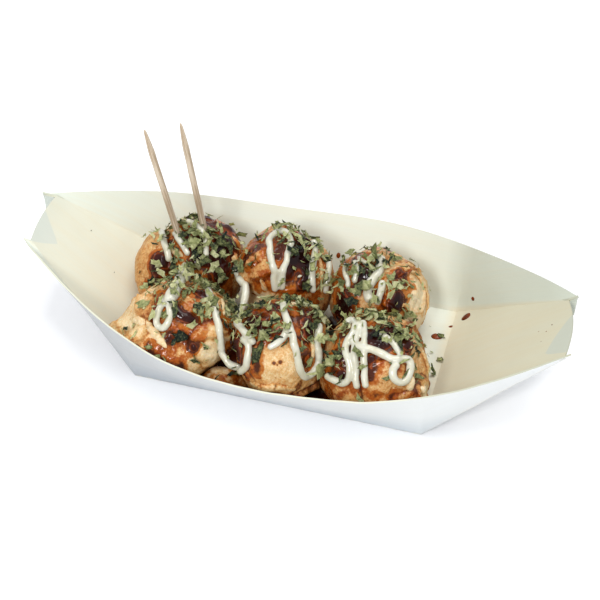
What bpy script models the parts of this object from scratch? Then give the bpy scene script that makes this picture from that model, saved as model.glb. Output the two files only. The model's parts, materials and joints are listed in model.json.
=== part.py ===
"""Takoyaki balls in a folded wood-veneer boat tray, with two picks.

The sheet of veneer is folded into a flat base, two long flared walls and two sloped
end panels.  Six balls lie in it in two rows of three, a scrap of batter lies between
two of them, and two picks stand in the ball at the back left.
Metres, +Z up.  The origin is the middle of the tray's base, on the surface it rests on.
+X runs along the tray and +Y towards its back wall.
"""
from math import asin, cos, degrees, exp, pi, radians, sin, tanh

import bmesh
import bpy
from mathutils import Vector, noise

# --- Driving dimensions -----------------------------------------------------------------
GAP = 0.0003                    # clear space kept between pieces that touch
PRESSED = 0.75 * GAP            # each pressed ball's distance from the plane between two
WALL_CLEARANCE = 0.0008         # clear space kept to the folded, faceted walls

VENEER = 0.0006                 # thickness of the folded sheet
FLAP_LAYERS = 3                 # sheets where a corner's fold lies behind an end panel
BASE_HALF_LENGTH = 0.0570
BASE_HALF_WIDTH = 0.0343
# Each corner of the boat is named by its end (-1 left, 1 right) and side (-1 front, 1 back).
# The ears are the points of the long walls, folded by hand, so no two are quite alike.
EAR_TIP = {
    (-1, 1): Vector((-0.1114, 0.0148, 0.0411)),
    (-1, -1): Vector((-0.1086, -0.0123, 0.0405)),
    (1, 1): Vector((0.1043, 0.0136, 0.0393)),
    (1, -1): Vector((0.1058, -0.0164, 0.0381)),
}
PANEL_CORNER = {
    (-1, 1): Vector((-0.1064, 0.0158, 0.0403)),
    (-1, -1): Vector((-0.1048, -0.0131, 0.0406)),
    (1, 1): Vector((0.1009, 0.0134, 0.0370)),
    (1, -1): Vector((0.1038, -0.0170, 0.0364)),
}
RIM_MIDDLE = {1: (0.0531, 0.0252), -1: (0.0551, 0.0272)}    # half width and height
RIM_SWEEP = {1: 2.20, -1: 1.97}     # how sharply the rim curves in towards its ears
RIM_RISE = {1: 1.95, -1: 1.85}      # how sharply the rim climbs towards its ears
RIM_WAVE = {1: (0.0, 0.0010), -1: (0.0014, 0.0004)}         # even and odd unevenness
PANEL_RIM_BULGE = {-1: 0.0012, 1: 0.0024}
SHARP_FOLD = radians(30)
WELD = 1e-6                     # points nearer than this are one point
FLAP_MEET = (0.15, 0.82)        # where the two folded flaps meet: across and up the panel
FLAP_SLACK = 0.01               # lets a flap take in the rows of faces that lie on its edge
BASE_STEPS = 5                  # columns of faces from the middle of the base to its end
SLOPE_STEPS = 8                 # rows of faces up an end panel
ACROSS_STEPS = 8                # columns of faces across the base and the panels
WALL_STEPS = 2                  # rows of faces up a long wall

PICK_LENGTH = 0.065
PICK_RADIUS = 0.0011
PICK_POINT_RADIUS = 0.0002
PICK_TAPER = 0.010
PICK_SIDES = 12
PICK_SHOULDER = 0.78            # share of its full girth half way down a pick's point
PICK_DEPTH = 0.0185             # how far each pick goes into the ball
# Where each pick enters the ball, and the direction in which it leans out of it.
PICKS = {
    "pick_left": (Vector((-0.0530, 0.0099, 0.0390)), Vector((-0.23, 0.03, 0.97))),
    "pick_right": (Vector((-0.0434, 0.0143, 0.0400)), Vector((-0.17, 0.06, 0.98))),
}
PICKED_BALL = "ball_back_left"

SEAM_WIDTH = radians(6)
LUMP_SIZE = 0.0085              # spacing of the small unevenness of the batter
LUMP_HEIGHT = 0.0011
LUMP_SHIFT = 7.3                # sets each seed's unevenness well apart from the next
SLUMP = (-32, 26, 0.0018)       # elevation, spread and height of each ball's sagging skirt
# Each piece of batter is an ellipsoid about its centre, shaped by lobes and seams.
# A lobe is (azimuth, elevation, spread, height): a swelling, or a dent if it is negative.
# A seam is (azimuth, elevation, opening, step, lip): a ring about that axis, where the
# crust inside the ring stands higher by the step, and its edge by the lip as well.
BATTER = {
    # Its crust is torn open at the left, and a flap of batter hangs over the tray's wall.
    "ball_front_left": {
        "centre": (-0.0400, -0.0262, 0.0190), "radii": (0.0198, 0.0190, 0.0184),
        "lobes": [(-164, 4, 15, 0.0046), (-132, 12, 18, 0.0026), (-92, 8, 22, 0.0014),
                  (-33, 12, 24, 0.0014), (-70, 42, 18, -0.0014), (22, 34, 22, 0.0014)],
        "seams": [(70, 62, 66, 0.0014, 0.0010), (-118, -34, 62, 0.0010, 0.0010)],
        "seed": 1, "steps": 4,
    },
    # A smooth patch of crust ends below in a ledge, with a fold tucked under it.
    "ball_front_mid": {
        "centre": (0.0000, -0.0232, 0.0188), "radii": (0.0166, 0.0192, 0.0186),
        "lobes": [(-76, 24, 22, 0.0014), (-88, -22, 16, 0.0018), (-160, 34, 24, 0.0012),
                  (-40, -30, 22, -0.0016), (60, 60, 24, -0.0012)],
        "seams": [(-66, 52, 66, 0.0022, 0.0012)],
        "seed": 2, "steps": 4,
    },
    # A raised rim of crust runs round the sunken cap at its right.
    "ball_front_right": {
        "centre": (0.0362, -0.0220, 0.0188), "radii": (0.0214, 0.0196, 0.0188),
        "lobes": [(-68, 28, 24, 0.0012), (-25, -4, 20, 0.0018), (-115, -4, 22, 0.0012),
                  (-98, 34, 14, -0.0016), (150, 50, 26, 0.0008)],
        "seams": [(8, 12, 46, -0.0016, 0.0020)],
        "seed": 3, "steps": 4,
    },
    # The round of bare crust at its left is set off by a groove.
    "ball_back_left": {
        "centre": (-0.0484, 0.0130, 0.0195), "radii": (0.0199, 0.0194, 0.0194),
        "lobes": [(-140, 18, 28, 0.0018), (-127, -10, 22, 0.0010), (35, 16, 30, 0.0012),
                  (-85, 50, 20, -0.0014), (160, 45, 28, -0.0014)],
        "seams": [(-150, 14, 50, 0.0012, -0.0018)],
        "seed": 4, "steps": 4,
    },
    # A flap of crust is folded over the paler batter at its left.
    "ball_back_mid": {
        "centre": (-0.0082, 0.0155, 0.0188), "radii": (0.0168, 0.0192, 0.0178),
        "lobes": [(-150, 38, 22, 0.0014), (-118, 10, 20, -0.0016), (10, 30, 26, 0.0012),
                  (-20, 66, 22, 0.0012), (150, 60, 24, -0.0010)],
        "seams": [(-170, 52, 50, 0.0026, 0.0010)],
        "seed": 5, "steps": 4,
    },
    # The thick pale side at its right ends in a browned rim.
    "ball_back_right": {
        "centre": (0.0262, 0.0170, 0.0188), "radii": (0.0172, 0.0192, 0.0176),
        "lobes": [(-26, 26, 28, 0.0014), (-10, -18, 24, 0.0014), (-130, 66, 22, 0.0014),
                  (-100, 40, 20, -0.0014), (20, 62, 24, -0.0014)],
        "seams": [(-20, 8, 54, 0.0012, 0.0020)],
        "seed": 6, "steps": 4,
    },
    "batter_scrap": {
        "centre": (-0.0200, -0.0362, 0.0078), "radii": (0.0092, 0.0056, 0.0068),
        "lobes": [(-100, 30, 40, 0.0012), (-20, 20, 30, -0.0012), (-160, 30, 30, 0.0008)],
        "seams": [], "seed": 7, "steps": 3,
    },
}


# --- Shared helpers ---------------------------------------------------------------------
def new_collection(name):
    collection = bpy.data.collections.new(name)
    bpy.context.scene.collection.children.link(collection)
    return collection


def material(name, colour, roughness):
    """A plain Principled finish in the colour of the real material."""
    finish = bpy.data.materials.new(name)
    finish.use_nodes = True
    shader = finish.node_tree.nodes["Principled BSDF"]
    shader.inputs["Base Color"].default_value = (*colour, 1.0)
    shader.inputs["Roughness"].default_value = roughness
    shader.inputs["Metallic"].default_value = 0.0
    return finish


def add_object(name, mesh, finish, collection):
    piece = bpy.data.objects.new(name, mesh)
    if finish:
        mesh.materials.append(finish)
    collection.objects.link(piece)
    return piece


def lerp(start, stop, share):
    return start + (stop - start) * share


def heading(azimuth, elevation):
    """The unit vector at an azimuth from +X and an elevation, both in degrees."""
    turn = radians(azimuth)
    rise = radians(elevation)
    return Vector((cos(turn) * cos(rise), sin(turn) * cos(rise), sin(rise)))


# --- Tray: one sheet of veneer folded into a boat ---------------------------------------
def ear_share(end, side):
    """Where along the rim, from 0 at the middle to 1 at the ear, the base's corner lies."""
    return BASE_HALF_LENGTH / abs(EAR_TIP[end, side].x)


def rim_point(end, side, share):
    """A point on a long wall's rim, at a share of the way from its middle to the ear."""
    tip = EAR_TIP[end, side]
    half_width, height = RIM_MIDDLE[side]
    even_wave, odd_wave = RIM_WAVE[side]
    wave = even_wave * cos(2.0 * pi * share) + end * odd_wave * sin(2.0 * pi * share)
    y = lerp(half_width, abs(tip.y), share ** RIM_SWEEP[side])
    z = lerp(height, tip.z, share ** RIM_RISE[side]) + wave * (1.0 - share ** 2)
    return Vector((tip.x * share, side * y, z))


def foot_point(end, side, share):
    """The point where a long wall starts: on the base's edge, then up the corner crease."""
    corner_share = ear_share(end, side)
    if share <= corner_share:
        return Vector((EAR_TIP[end, side].x * share, side * BASE_HALF_WIDTH, VENEER))
    corner = Vector((end * BASE_HALF_LENGTH, side * BASE_HALF_WIDTH, VENEER))
    climb = (share - corner_share) / (1.0 - corner_share)
    return corner.lerp(PANEL_CORNER[end, side], climb)


def wall_limit(side, x, z):
    """How far the inside of a long wall lies from the middle plane, at x and height z."""
    end = 1 if x >= 0 else -1
    share = min(abs(x / EAR_TIP[end, side].x), 1.0)
    foot = foot_point(end, side, share)
    rim = rim_point(end, side, share)
    return abs(foot.lerp(rim, (z - foot.z) / (rim.z - foot.z)).y)


def panel_point(end, across, climb):
    """A point on an end panel: across from -1 (front) to 1 (back), climb from 0 to 1."""
    front = foot_point(end, -1, lerp(ear_share(end, -1), 1.0, climb))
    back = foot_point(end, 1, lerp(ear_share(end, 1), 1.0, climb))
    point = front.lerp(back, (across + 1.0) / 2.0)
    slope = PANEL_CORNER[end, 1] - foot_point(end, 1, ear_share(end, 1))
    slope.y = 0.0
    bulge = PANEL_RIM_BULGE[end] * (1.0 - across ** 2) * climb ** 2
    return point + slope.normalized() * bulge


def panel_limit(end, y, z):
    """How far the inside of an end panel lies from the middle, at y and height z."""
    climb = (z - VENEER) / (PANEL_CORNER[end, 1].z - VENEER)
    return abs(panel_point(end, max(-1.0, min(1.0, y / BASE_HALF_WIDTH)), climb).x)


def behind_flap(across, climb):
    """Whether a folded corner lies behind the panel here: a triangle on either side."""
    meet_across, meet_climb = FLAP_MEET
    for side in (-1, 1):
        reach = 1.0 - side * meet_across
        from_crease = 1.0 - side * across
        fold_side = from_crease <= reach * climb / meet_climb + FLAP_SLACK
        cut_side = climb <= lerp(1.0, meet_climb, from_crease / reach) + FLAP_SLACK
        if from_crease <= 1.0 + abs(meet_across) and fold_side and cut_side and climb > 0.0:
            return True
    return False


def add_grid(mesh, point_at, columns, rows):
    """Joins a grid of points into quads, and returns the vertices by column and row."""
    grid = [[mesh.verts.new(point_at(i, j)) for j in range(rows + 1)] for i in range(columns + 1)]
    for i in range(columns):
        for j in range(rows):
            mesh.faces.new((grid[i][j], grid[i + 1][j], grid[i + 1][j + 1], grid[i][j + 1]))
    return grid


def build_tray(finish, collection):
    """The inside of the folded sheet as one open surface, given its thickness outwards."""
    mesh = bmesh.new()
    panel_vertices = []

    def base_at(i, j):
        y = BASE_HALF_WIDTH * (2.0 * j / ACROSS_STEPS - 1.0)
        return Vector((BASE_HALF_LENGTH * (i / BASE_STEPS - 1.0), y, VENEER))

    add_grid(mesh, base_at, 2 * BASE_STEPS, ACROSS_STEPS)

    for end in (-1, 1):
        def panel_at(i, j):
            return panel_point(end, end * (2.0 * j / ACROSS_STEPS - 1.0), i / SLOPE_STEPS)

        grid = add_grid(mesh, panel_at, SLOPE_STEPS, ACROSS_STEPS)
        for i, column in enumerate(grid):
            for j, vertex in enumerate(column):
                across = end * (2.0 * j / ACROSS_STEPS - 1.0)
                if abs(across) < 1.0 and behind_flap(across, i / SLOPE_STEPS):
                    panel_vertices.append(vertex.co.copy())

    for side in (-1, 1):
        for end in (-1, 1):
            corner_share = ear_share(end, side)

            def wall_at(i, j):
                if i <= BASE_STEPS:
                    share = corner_share * i / BASE_STEPS
                else:
                    share = lerp(corner_share, 1.0, (i - BASE_STEPS) / SLOPE_STEPS)
                foot = foot_point(end, side, share)
                return foot.lerp(rim_point(end, side, share), j / WALL_STEPS)

            add_grid(mesh, wall_at, BASE_STEPS + SLOPE_STEPS, WALL_STEPS)

    bmesh.ops.remove_doubles(mesh, verts=mesh.verts, dist=WELD)
    bmesh.ops.recalc_face_normals(mesh, faces=mesh.faces)
    base_face = min(mesh.faces, key=lambda face: face.calc_center_median().length)
    if base_face.normal.z > 0.0:
        bmesh.ops.reverse_faces(mesh, faces=mesh.faces)

    sheet = bpy.data.meshes.new("tray")
    mesh.to_mesh(sheet)
    mesh.free()
    tray = add_object("tray", sheet, finish, collection)
    flap = tray.vertex_groups.new(name="flap")
    for vertex in sheet.vertices:
        if any((vertex.co - place).length < 2.0 * WELD for place in panel_vertices):
            flap.add([vertex.index], 1.0, "REPLACE")
    thicken = tray.modifiers.new("veneer", "SOLIDIFY")
    thicken.thickness = VENEER * FLAP_LAYERS
    thicken.offset = 1.0
    thicken.use_even_offset = True
    thicken.use_quality_normals = True
    thicken.vertex_group = "flap"
    thicken.thickness_vertex_group = 1.0 / FLAP_LAYERS
    sheet.shade_smooth()
    sheet.set_sharp_from_angle(angle=SHARP_FOLD)
    return tray


# --- Balls and scrap of batter ----------------------------------------------------------
def swelling(direction, form):
    """How far the batter stands out of its ellipsoid in one direction."""
    skirt_elevation, skirt_spread, skirt_height = SLUMP
    below = (degrees(asin(direction.z)) - skirt_elevation) / skirt_spread
    height = skirt_height * exp(-below ** 2)
    for azimuth, elevation, spread, lobe_height in form["lobes"]:
        angle = direction.angle(heading(azimuth, elevation))
        height += lobe_height * exp(-(angle / radians(spread)) ** 2)
    for azimuth, elevation, opening, step, lip in form["seams"]:
        edge = (direction.angle(heading(azimuth, elevation)) - radians(opening)) / SEAM_WIDTH
        height += step * (1.0 - tanh(edge)) / 2.0 + lip * exp(-edge ** 2)
    return height


def reach(form, direction):
    """How far a piece's ellipsoid reaches from its centre in one direction."""
    return sum((radius * share) ** 2 for radius, share in zip(form["radii"], direction)) ** 0.5


def press_apart(point, name):
    """Holds a point of one piece on its own side of the plane shared with each neighbour."""
    own = BATTER[name]
    centre = Vector(own["centre"])
    for other_name, other in BATTER.items():
        if other_name == name:
            continue
        apart = Vector(other["centre"]) - centre
        across = apart.normalized()
        own_reach = reach(own, across)
        share = own_reach / (own_reach + reach(other, across))
        limit = apart.length * share - PRESSED
        excess = (point - centre).dot(across) - limit
        if excess > 0.0:
            point = point - across * excess
    return point


def press_into_tray(point):
    """Holds a point above the tray's base and inside its walls and end panels."""
    point.z = max(point.z, VENEER + GAP)
    side = 1 if point.y >= 0.0 else -1
    wall = wall_limit(side, point.x, point.z) - WALL_CLEARANCE
    point.y = side * min(abs(point.y), wall)
    end = 1 if point.x >= 0.0 else -1
    panel = panel_limit(end, point.y, point.z) - WALL_CLEARANCE
    point.x = end * min(abs(point.x), panel)
    return point


def build_batter(name, finish, collection):
    """A ball of batter, as uneven as it was turned, and flat where it is pressed."""
    form = BATTER[name]
    centre = Vector(form["centre"])
    mesh = bmesh.new()
    bmesh.ops.create_icosphere(mesh, subdivisions=form["steps"], radius=1.0)
    for vertex in mesh.verts:
        direction = vertex.co.normalized()
        point = Vector(radius * share for radius, share in zip(form["radii"], direction))
        lumps = noise.noise(point / LUMP_SIZE + Vector((form["seed"] * LUMP_SHIFT, 0.0, 0.0)))
        point = point + direction * (swelling(direction, form) + LUMP_HEIGHT * lumps)
        vertex.co = press_into_tray(press_apart(centre + point, name))
    ball = bpy.data.meshes.new(name)
    mesh.to_mesh(ball)
    mesh.free()
    ball.shade_smooth()
    return add_object(name, ball, finish, collection)


# --- Picks ------------------------------------------------------------------------------
def pick_profile(clearance):
    """Height and radius down a pick pointed at both ends, enlarged by a clearance."""
    middle = PICK_TAPER / 2.0
    girth = PICK_RADIUS * PICK_SHOULDER
    lower = [(0.0, PICK_POINT_RADIUS), (middle, girth), (PICK_TAPER, PICK_RADIUS)]
    upper = [(PICK_LENGTH - height, radius) for height, radius in reversed(lower)]
    return [(height, radius + clearance) for height, radius in upper[::-1] + lower[::-1]]


def build_turned_pick(name, profile, entry, lean, finish, collection):
    """A profile turned about its own axis, standing in the ball along its lean."""
    outline = bmesh.new()
    points = [Vector((0.0, 0.0, profile[0][0]))]
    points += [Vector((radius, 0.0, height)) for height, radius in profile]
    points += [Vector((0.0, 0.0, profile[-1][0]))]
    vertices = [outline.verts.new(point) for point in points]
    for first, second in zip(vertices, vertices[1:]):
        outline.edges.new((first, second))
    mesh = bpy.data.meshes.new(name)
    outline.to_mesh(mesh)
    outline.free()
    pick = add_object(name, mesh, finish, collection)
    turn = pick.modifiers.new("turned", "SCREW")
    turn.steps = PICK_SIDES
    turn.render_steps = PICK_SIDES
    turn.use_merge_vertices = True
    turn.merge_threshold = 10.0 * WELD
    pick.rotation_mode = "QUATERNION"
    pick.rotation_quaternion = Vector((0.0, 0.0, 1.0)).rotation_difference(lean)
    pick.location = entry - lean * PICK_DEPTH
    return pick


def build_picks(finish, collection, cutters, ball):
    """The picks, and in the ball the holes that they stand in."""
    for name, (entry, lean) in PICKS.items():
        lean = lean.normalized()
        build_turned_pick(name, pick_profile(0.0), entry, lean, finish, collection)
        hole_name = "hole_of_" + name
        foot = entry - lean * GAP
        hole = build_turned_pick(hole_name, pick_profile(GAP), foot, lean, None, cutters)
        hole.hide_render = True
        hole.display_type = "WIRE"
        cut = ball.modifiers.new(hole_name, "BOOLEAN")
        cut.operation = "DIFFERENCE"
        cut.object = hole


# --- The whole object -------------------------------------------------------------------
def build():
    for old in list(bpy.data.objects):
        bpy.data.objects.remove(old)
    parts = new_collection("takoyaki_boat")
    cutters = new_collection("cutters")
    veneer = material("veneer", (0.86, 0.82, 0.68), 0.6)
    crust = material("browned_batter", (0.62, 0.32, 0.11), 0.45)
    glazed = material("glazed_batter", (0.35, 0.14, 0.04), 0.3)
    wood = material("pick_wood", (0.72, 0.56, 0.38), 0.55)

    build_tray(veneer, parts)
    balls = {}
    for name in BATTER:
        finish = glazed if name == "batter_scrap" else crust
        balls[name] = build_batter(name, finish, parts)
    build_picks(wood, parts, cutters, balls[PICKED_BALL])


build()
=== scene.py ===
"""The looks of the takoyaki boat: six batter balls with sauce, mayonnaise and green laver,
in a folded veneer boat with two picks. Metres, +Z up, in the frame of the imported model.
"""
import json
import random
from math import cos, exp, pi, radians, sin, sqrt, tau

import bmesh
import bpy
import numpy as np
from mathutils import Matrix, Vector, noise
from mathutils.bvhtree import BVHTree

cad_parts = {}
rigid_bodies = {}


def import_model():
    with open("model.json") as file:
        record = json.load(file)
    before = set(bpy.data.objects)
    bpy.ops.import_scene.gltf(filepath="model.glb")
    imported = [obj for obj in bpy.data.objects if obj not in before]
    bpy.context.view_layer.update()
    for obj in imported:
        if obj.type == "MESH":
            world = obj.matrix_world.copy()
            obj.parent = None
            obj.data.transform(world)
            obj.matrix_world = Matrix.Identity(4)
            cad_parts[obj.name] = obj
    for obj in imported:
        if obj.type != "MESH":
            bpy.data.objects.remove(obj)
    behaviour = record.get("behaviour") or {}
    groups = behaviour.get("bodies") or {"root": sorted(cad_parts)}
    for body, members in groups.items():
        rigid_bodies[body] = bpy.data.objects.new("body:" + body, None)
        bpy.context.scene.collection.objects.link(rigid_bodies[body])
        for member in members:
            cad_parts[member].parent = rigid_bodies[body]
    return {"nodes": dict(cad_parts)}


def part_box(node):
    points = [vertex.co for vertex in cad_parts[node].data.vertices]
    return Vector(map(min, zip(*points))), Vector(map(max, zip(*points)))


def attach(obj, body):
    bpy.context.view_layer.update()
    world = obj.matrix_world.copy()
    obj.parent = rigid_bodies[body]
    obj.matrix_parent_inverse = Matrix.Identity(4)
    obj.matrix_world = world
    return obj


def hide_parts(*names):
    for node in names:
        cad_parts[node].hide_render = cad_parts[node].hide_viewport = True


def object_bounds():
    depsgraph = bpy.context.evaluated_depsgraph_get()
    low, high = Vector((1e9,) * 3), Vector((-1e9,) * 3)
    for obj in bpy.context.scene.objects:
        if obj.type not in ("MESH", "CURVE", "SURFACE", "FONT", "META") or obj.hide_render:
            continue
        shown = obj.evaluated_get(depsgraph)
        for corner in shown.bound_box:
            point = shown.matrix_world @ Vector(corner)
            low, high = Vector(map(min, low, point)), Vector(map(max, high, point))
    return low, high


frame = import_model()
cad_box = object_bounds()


# --- The boat ---------------------------------------------------------------------------
# One sheet of pine veneer, steamed and folded by hand into a flat base, two long flared
# walls and two sloped end panels. The grain runs along the boat, and the cut rim is bright.
UP = Vector((0.0, 0.0, 1.0))
VENEER = 0.0006
BOAT_REACH = 0.12               # the shades below are spread over this much each way
BASE_HALF_LENGTH = 0.0570
BASE_HALF_WIDTH = 0.0343
# Each corner is named by its end (-1 left, 1 right) and its side (-1 front, 1 back).
EAR_TIP = {
    (-1, 1): Vector((-0.1114, 0.0148, 0.0411)),
    (-1, -1): Vector((-0.1086, -0.0123, 0.0405)),
    (1, 1): Vector((0.1043, 0.0136, 0.0393)),
    (1, -1): Vector((0.1058, -0.0164, 0.0381)),
}
PANEL_CORNER = {
    (-1, 1): Vector((-0.1064, 0.0158, 0.0403)),
    (-1, -1): Vector((-0.1048, -0.0131, 0.0406)),
    (1, 1): Vector((0.1009, 0.0134, 0.0370)),
    (1, -1): Vector((0.1038, -0.0170, 0.0364)),
}
RIM_MIDDLE = {1: (0.0531, 0.0252), -1: (0.0551, 0.0272)}    # half width and height
RIM_SWEEP = {1: 2.20, -1: 1.97}
RIM_RISE = {1: 1.95, -1: 1.85}
RIM_WAVE = {1: (0.0, 0.0010), -1: (0.0014, 0.0004)}         # even and odd unevenness
PANEL_RIM_BULGE = {-1: 0.0012, 1: 0.0024}
FOLD_RADIUS = 0.0009
BASE_COLUMNS = 14               # from the middle of the base to its end
SLOPE_COLUMNS = 28
ACROSS_ROWS = 36
WALL_ROWS = 8
HAND_WAVE = 0.00045             # unevenness that folding by hand leaves in the walls
HAND_WAVES = ((0.026, 1.0), (0.009, 0.4))   # the spacing and the share of long and short waves
STIFF_RISE = 0.002              # near the base the veneer stays flat
FREE_RISE = 0.014
END_TINT = {-1: 0.30, 1: 0.50}  # how much warmer the veneer of each end panel is: partly the double ply behind it, partly painted warm light bounced between the walls
TINT_FADE = 0.004               # over this much of the base the tint sets in
TINT_LIMIT = 1.02               # just beyond the creases at the panel's sides, which are at 1
SAME_POINT = 1e-6               # points this near to each other are one
CREASE_ANGLE = radians(40)      # edges sharper than this stay sharp
# Painted shade: how much darker the wood is made along the boat and up its walls, inside and
# outside, where less light falls on it. A place and its share of the colour.
INSIDE_PAINTED_SHADE = [(-0.112, (0.84, 0.87, 0.88)), (-0.100, (0.93, 0.94, 0.94)),
                (-0.065, (1.0, 1.0, 1.0)), (0.050, (1.0, 1.0, 1.0)),
                (0.061, (0.78, 0.78, 0.76)), (0.104, (0.70, 0.71, 0.68))]
PAINTED_SHADE_UP_INSIDE = [(0.001, (1.0, 1.0, 1.0)), (0.007, (0.91, 0.92, 0.91))]
OUTSIDE_PAINTED_SHADE = [(-0.10, (0.58, 0.58, 0.58)), (-0.057, (0.61, 0.61, 0.61)),
                 (-0.030, (0.73, 0.73, 0.73)), (0.030, (0.82, 0.82, 0.81)),
                 (0.060, (0.93, 0.93, 0.91)), (0.100, (1.0, 1.0, 0.99))]
# Painted shade near the floor: the outside is made bluer and darker low down.
PAINTED_SHADE_UP_OUTSIDE = [(0.002, (0.86, 0.90, 0.95)), (0.014, (1.0, 1.0, 1.0))]
# The folded corners behind a panel leave a notch below its rim where the sheet is single:
# across the panel, where the notch ends at the back and the front, then its lowest point.
NOTCH = {-1: (0.24, -1.0, -0.35, 0.85), 1: (0.22, -0.86, -0.62, 0.85)}


def lerp(start, stop, share):
    """A value that lies a share of the way from start to stop."""
    return start + (stop - start) * share


def smooth(share):
    """A share held between 0 and 1, with soft ends."""
    share = max(0.0, min(1.0, share))
    return share * share * (3.0 - 2.0 * share)


def corner_share(end, side):
    """Where along the rim, from 0 at its middle to 1 at the ear, the base's corner lies."""
    return BASE_HALF_LENGTH / abs(EAR_TIP[end, side].x)


def rim_point(end, side, share):
    """A point on the rim, from its middle to the tip of the ear."""
    tip = EAR_TIP[end, side]
    half_width, height = RIM_MIDDLE[side]
    even_wave, odd_wave = RIM_WAVE[side]
    wave = even_wave * cos(tau * share) + end * odd_wave * sin(tau * share)
    y = lerp(half_width, abs(tip.y), share ** RIM_SWEEP[side])
    z = lerp(height, tip.z, share ** RIM_RISE[side]) + wave * (1.0 - share ** 2)
    return Vector((tip.x * share, side * y, z))


def foot_point(end, side, share):
    """Where a long wall starts: on the base's edge, then up the corner crease."""
    corner = Vector((end * BASE_HALF_LENGTH, side * BASE_HALF_WIDTH, VENEER))
    start = corner_share(end, side)
    if share <= start:
        return Vector((EAR_TIP[end, side].x * share, corner.y, VENEER))
    return corner.lerp(PANEL_CORNER[end, side], (share - start) / (1.0 - start))


def panel_point(end, across, climb):
    """A point on an end panel: across from -1 (front) to 1 (back), climb from 0 to 1."""
    front = foot_point(end, -1, lerp(corner_share(end, -1), 1.0, climb))
    back = foot_point(end, 1, lerp(corner_share(end, 1), 1.0, climb))
    slope = PANEL_CORNER[end, 1] - foot_point(end, 1, corner_share(end, 1))
    slope.y = 0.0
    bulge = PANEL_RIM_BULGE[end] * (1.0 - across ** 2) * climb ** 2
    return front.lerp(back, (across + 1.0) / 2.0) + slope.normalized() * bulge


def fold_top(end, across):
    """How far up an end panel the folded corners behind it reach: 1 is the rim."""
    back, front, lowest, climb = NOTCH[end]
    if across > lowest:
        return lerp(climb, 1.0, (across - lowest) / (back - lowest))
    return lerp(climb, 1.0, (lowest - across) / (lowest - front))


def add_sheet(mesh, columns, rows, point_at, flat_at):
    """A grid of faces, each corner carrying its place on the sheet before it was folded."""
    flat = mesh.loops.layers.uv.verify()
    grid = []
    for i in range(columns + 1):
        grid.append([mesh.verts.new(point_at(i / columns, j / rows)) for j in range(rows + 1)])
    for i in range(columns):
        for j in range(rows):
            corners = ((i, j), (i + 1, j), (i + 1, j + 1), (i, j + 1))
            face = mesh.faces.new([grid[a][b] for a, b in corners])
            for loop, (a, b) in zip(face.loops, corners):
                loop[flat].uv = flat_at(a / columns, b / rows)


def face_along(mesh, face, direction):
    """Turns all the faces so that this one looks along the direction."""
    bmesh.ops.recalc_face_normals(mesh, faces=mesh.faces)
    if face.normal.dot(direction) < 0.0:
        bmesh.ops.reverse_faces(mesh, faces=mesh.faces)


def finished_form(name, mesh):
    """What was built, as a mesh of its own. Its places on the flat sheet are called flat."""
    form = bpy.data.meshes.new(name)
    mesh.to_mesh(form)
    mesh.free()
    for layer in form.uv_layers:
        layer.name = "flat"
    return form


def surface_of(mesh):
    """A search tree of a mesh's faces."""
    return BVHTree.FromPolygons([vertex.co.copy() for vertex in mesh.vertices],
                                [tuple(face.vertices) for face in mesh.polygons])


def add_change(piece, name, kind, **settings):
    """A modifier with its settings."""
    change = piece.modifiers.new(name, kind)
    for setting, value in settings.items():
        setattr(change, setting, value)
    return change


def plain_mesh(piece):
    """Replaces a piece's mesh by its finished one, and takes its modifiers off."""
    bpy.context.view_layer.update()
    depsgraph = bpy.context.evaluated_depsgraph_get()
    finished = bpy.data.meshes.new_from_object(
        piece.evaluated_get(depsgraph), preserve_all_data_layers=True, depsgraph=depsgraph
    )
    piece.modifiers.clear()
    piece.data = finished
    finished.name = piece.name


def add_piece(name, mesh, *finishes):
    """An object in the scene, with its finishes."""
    piece = bpy.data.objects.new(name, mesh)
    for finish in finishes:
        mesh.materials.append(finish)
    bpy.context.scene.collection.objects.link(piece)
    return piece


def set_inputs(tree, node, inputs):
    """Sets a node's inputs to values, or joins them to other nodes' sockets."""
    for key, value in inputs.items():
        if isinstance(value, bpy.types.NodeSocket):
            tree.links.new(value, node.inputs[key])
        else:
            node.inputs[key].default_value = value


def add_node(tree, kind, inputs=None, **settings):
    """A node with its inputs and its settings."""
    made = tree.nodes.new(kind)
    for name, value in settings.items():
        setattr(made, name, value)
    set_inputs(tree, made, inputs or {})
    return made


def add_math(tree, operation, *values, clamp=False):
    """One sum on values or sockets, held between 0 and 1 where clamp is set."""
    return add_node(tree, "ShaderNodeMath", dict(enumerate(values)), operation=operation,
                    use_clamp=clamp).outputs[0]


def add_ramp(tree, share, stops):
    """A colour ramp from a list of (position, colour)."""
    ramp = add_node(tree, "ShaderNodeValToRGB", {"Fac": share})
    points = ramp.color_ramp.elements
    while len(points) < len(stops):
        points.new(0.5)
    for point, (position, colour) in zip(points, stops):
        point.position = position
        point.color = (*colour, 1.0)
    return ramp.outputs["Color"]


def add_mix(tree, share, first, second, blend="MIX"):
    """Mixes two colours, each given as a socket or as red, green and blue."""
    first, second = ((*colour, 1.0) if isinstance(colour, tuple) else colour
                     for colour in (first, second))
    mixed = add_node(tree, "ShaderNodeMix", {0: share, 6: first, 7: second},
                     data_type="RGBA", blend_type=blend)
    return mixed.outputs[2]


def add_noise(tree, place, scale, detail=3.0, roughness=0.5, distortion=0.0):
    """Cloudy noise, where scale says how often it changes in a metre."""
    made = add_node(tree, "ShaderNodeTexNoise", {
        "Vector": place, "Scale": scale, "Detail": detail,
        "Roughness": roughness, "Distortion": distortion,
    })
    return made.outputs[0]


def add_range(tree, value, low, high, out_low=0.0, out_high=1.0):
    """Stretches a value's range from low..high to out_low..out_high, with soft ends."""
    made = add_node(tree, "ShaderNodeMapRange", {
        "Value": value, "From Min": low, "From Max": high,
        "To Min": out_low, "To Max": out_high,
    }, interpolation_type="SMOOTHSTEP")
    return made.outputs[0]


def add_sum(tree, first, second, share=1.0):
    """The first value plus a share of the second."""
    return add_math(tree, "MULTIPLY_ADD", second, share, first)


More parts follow.
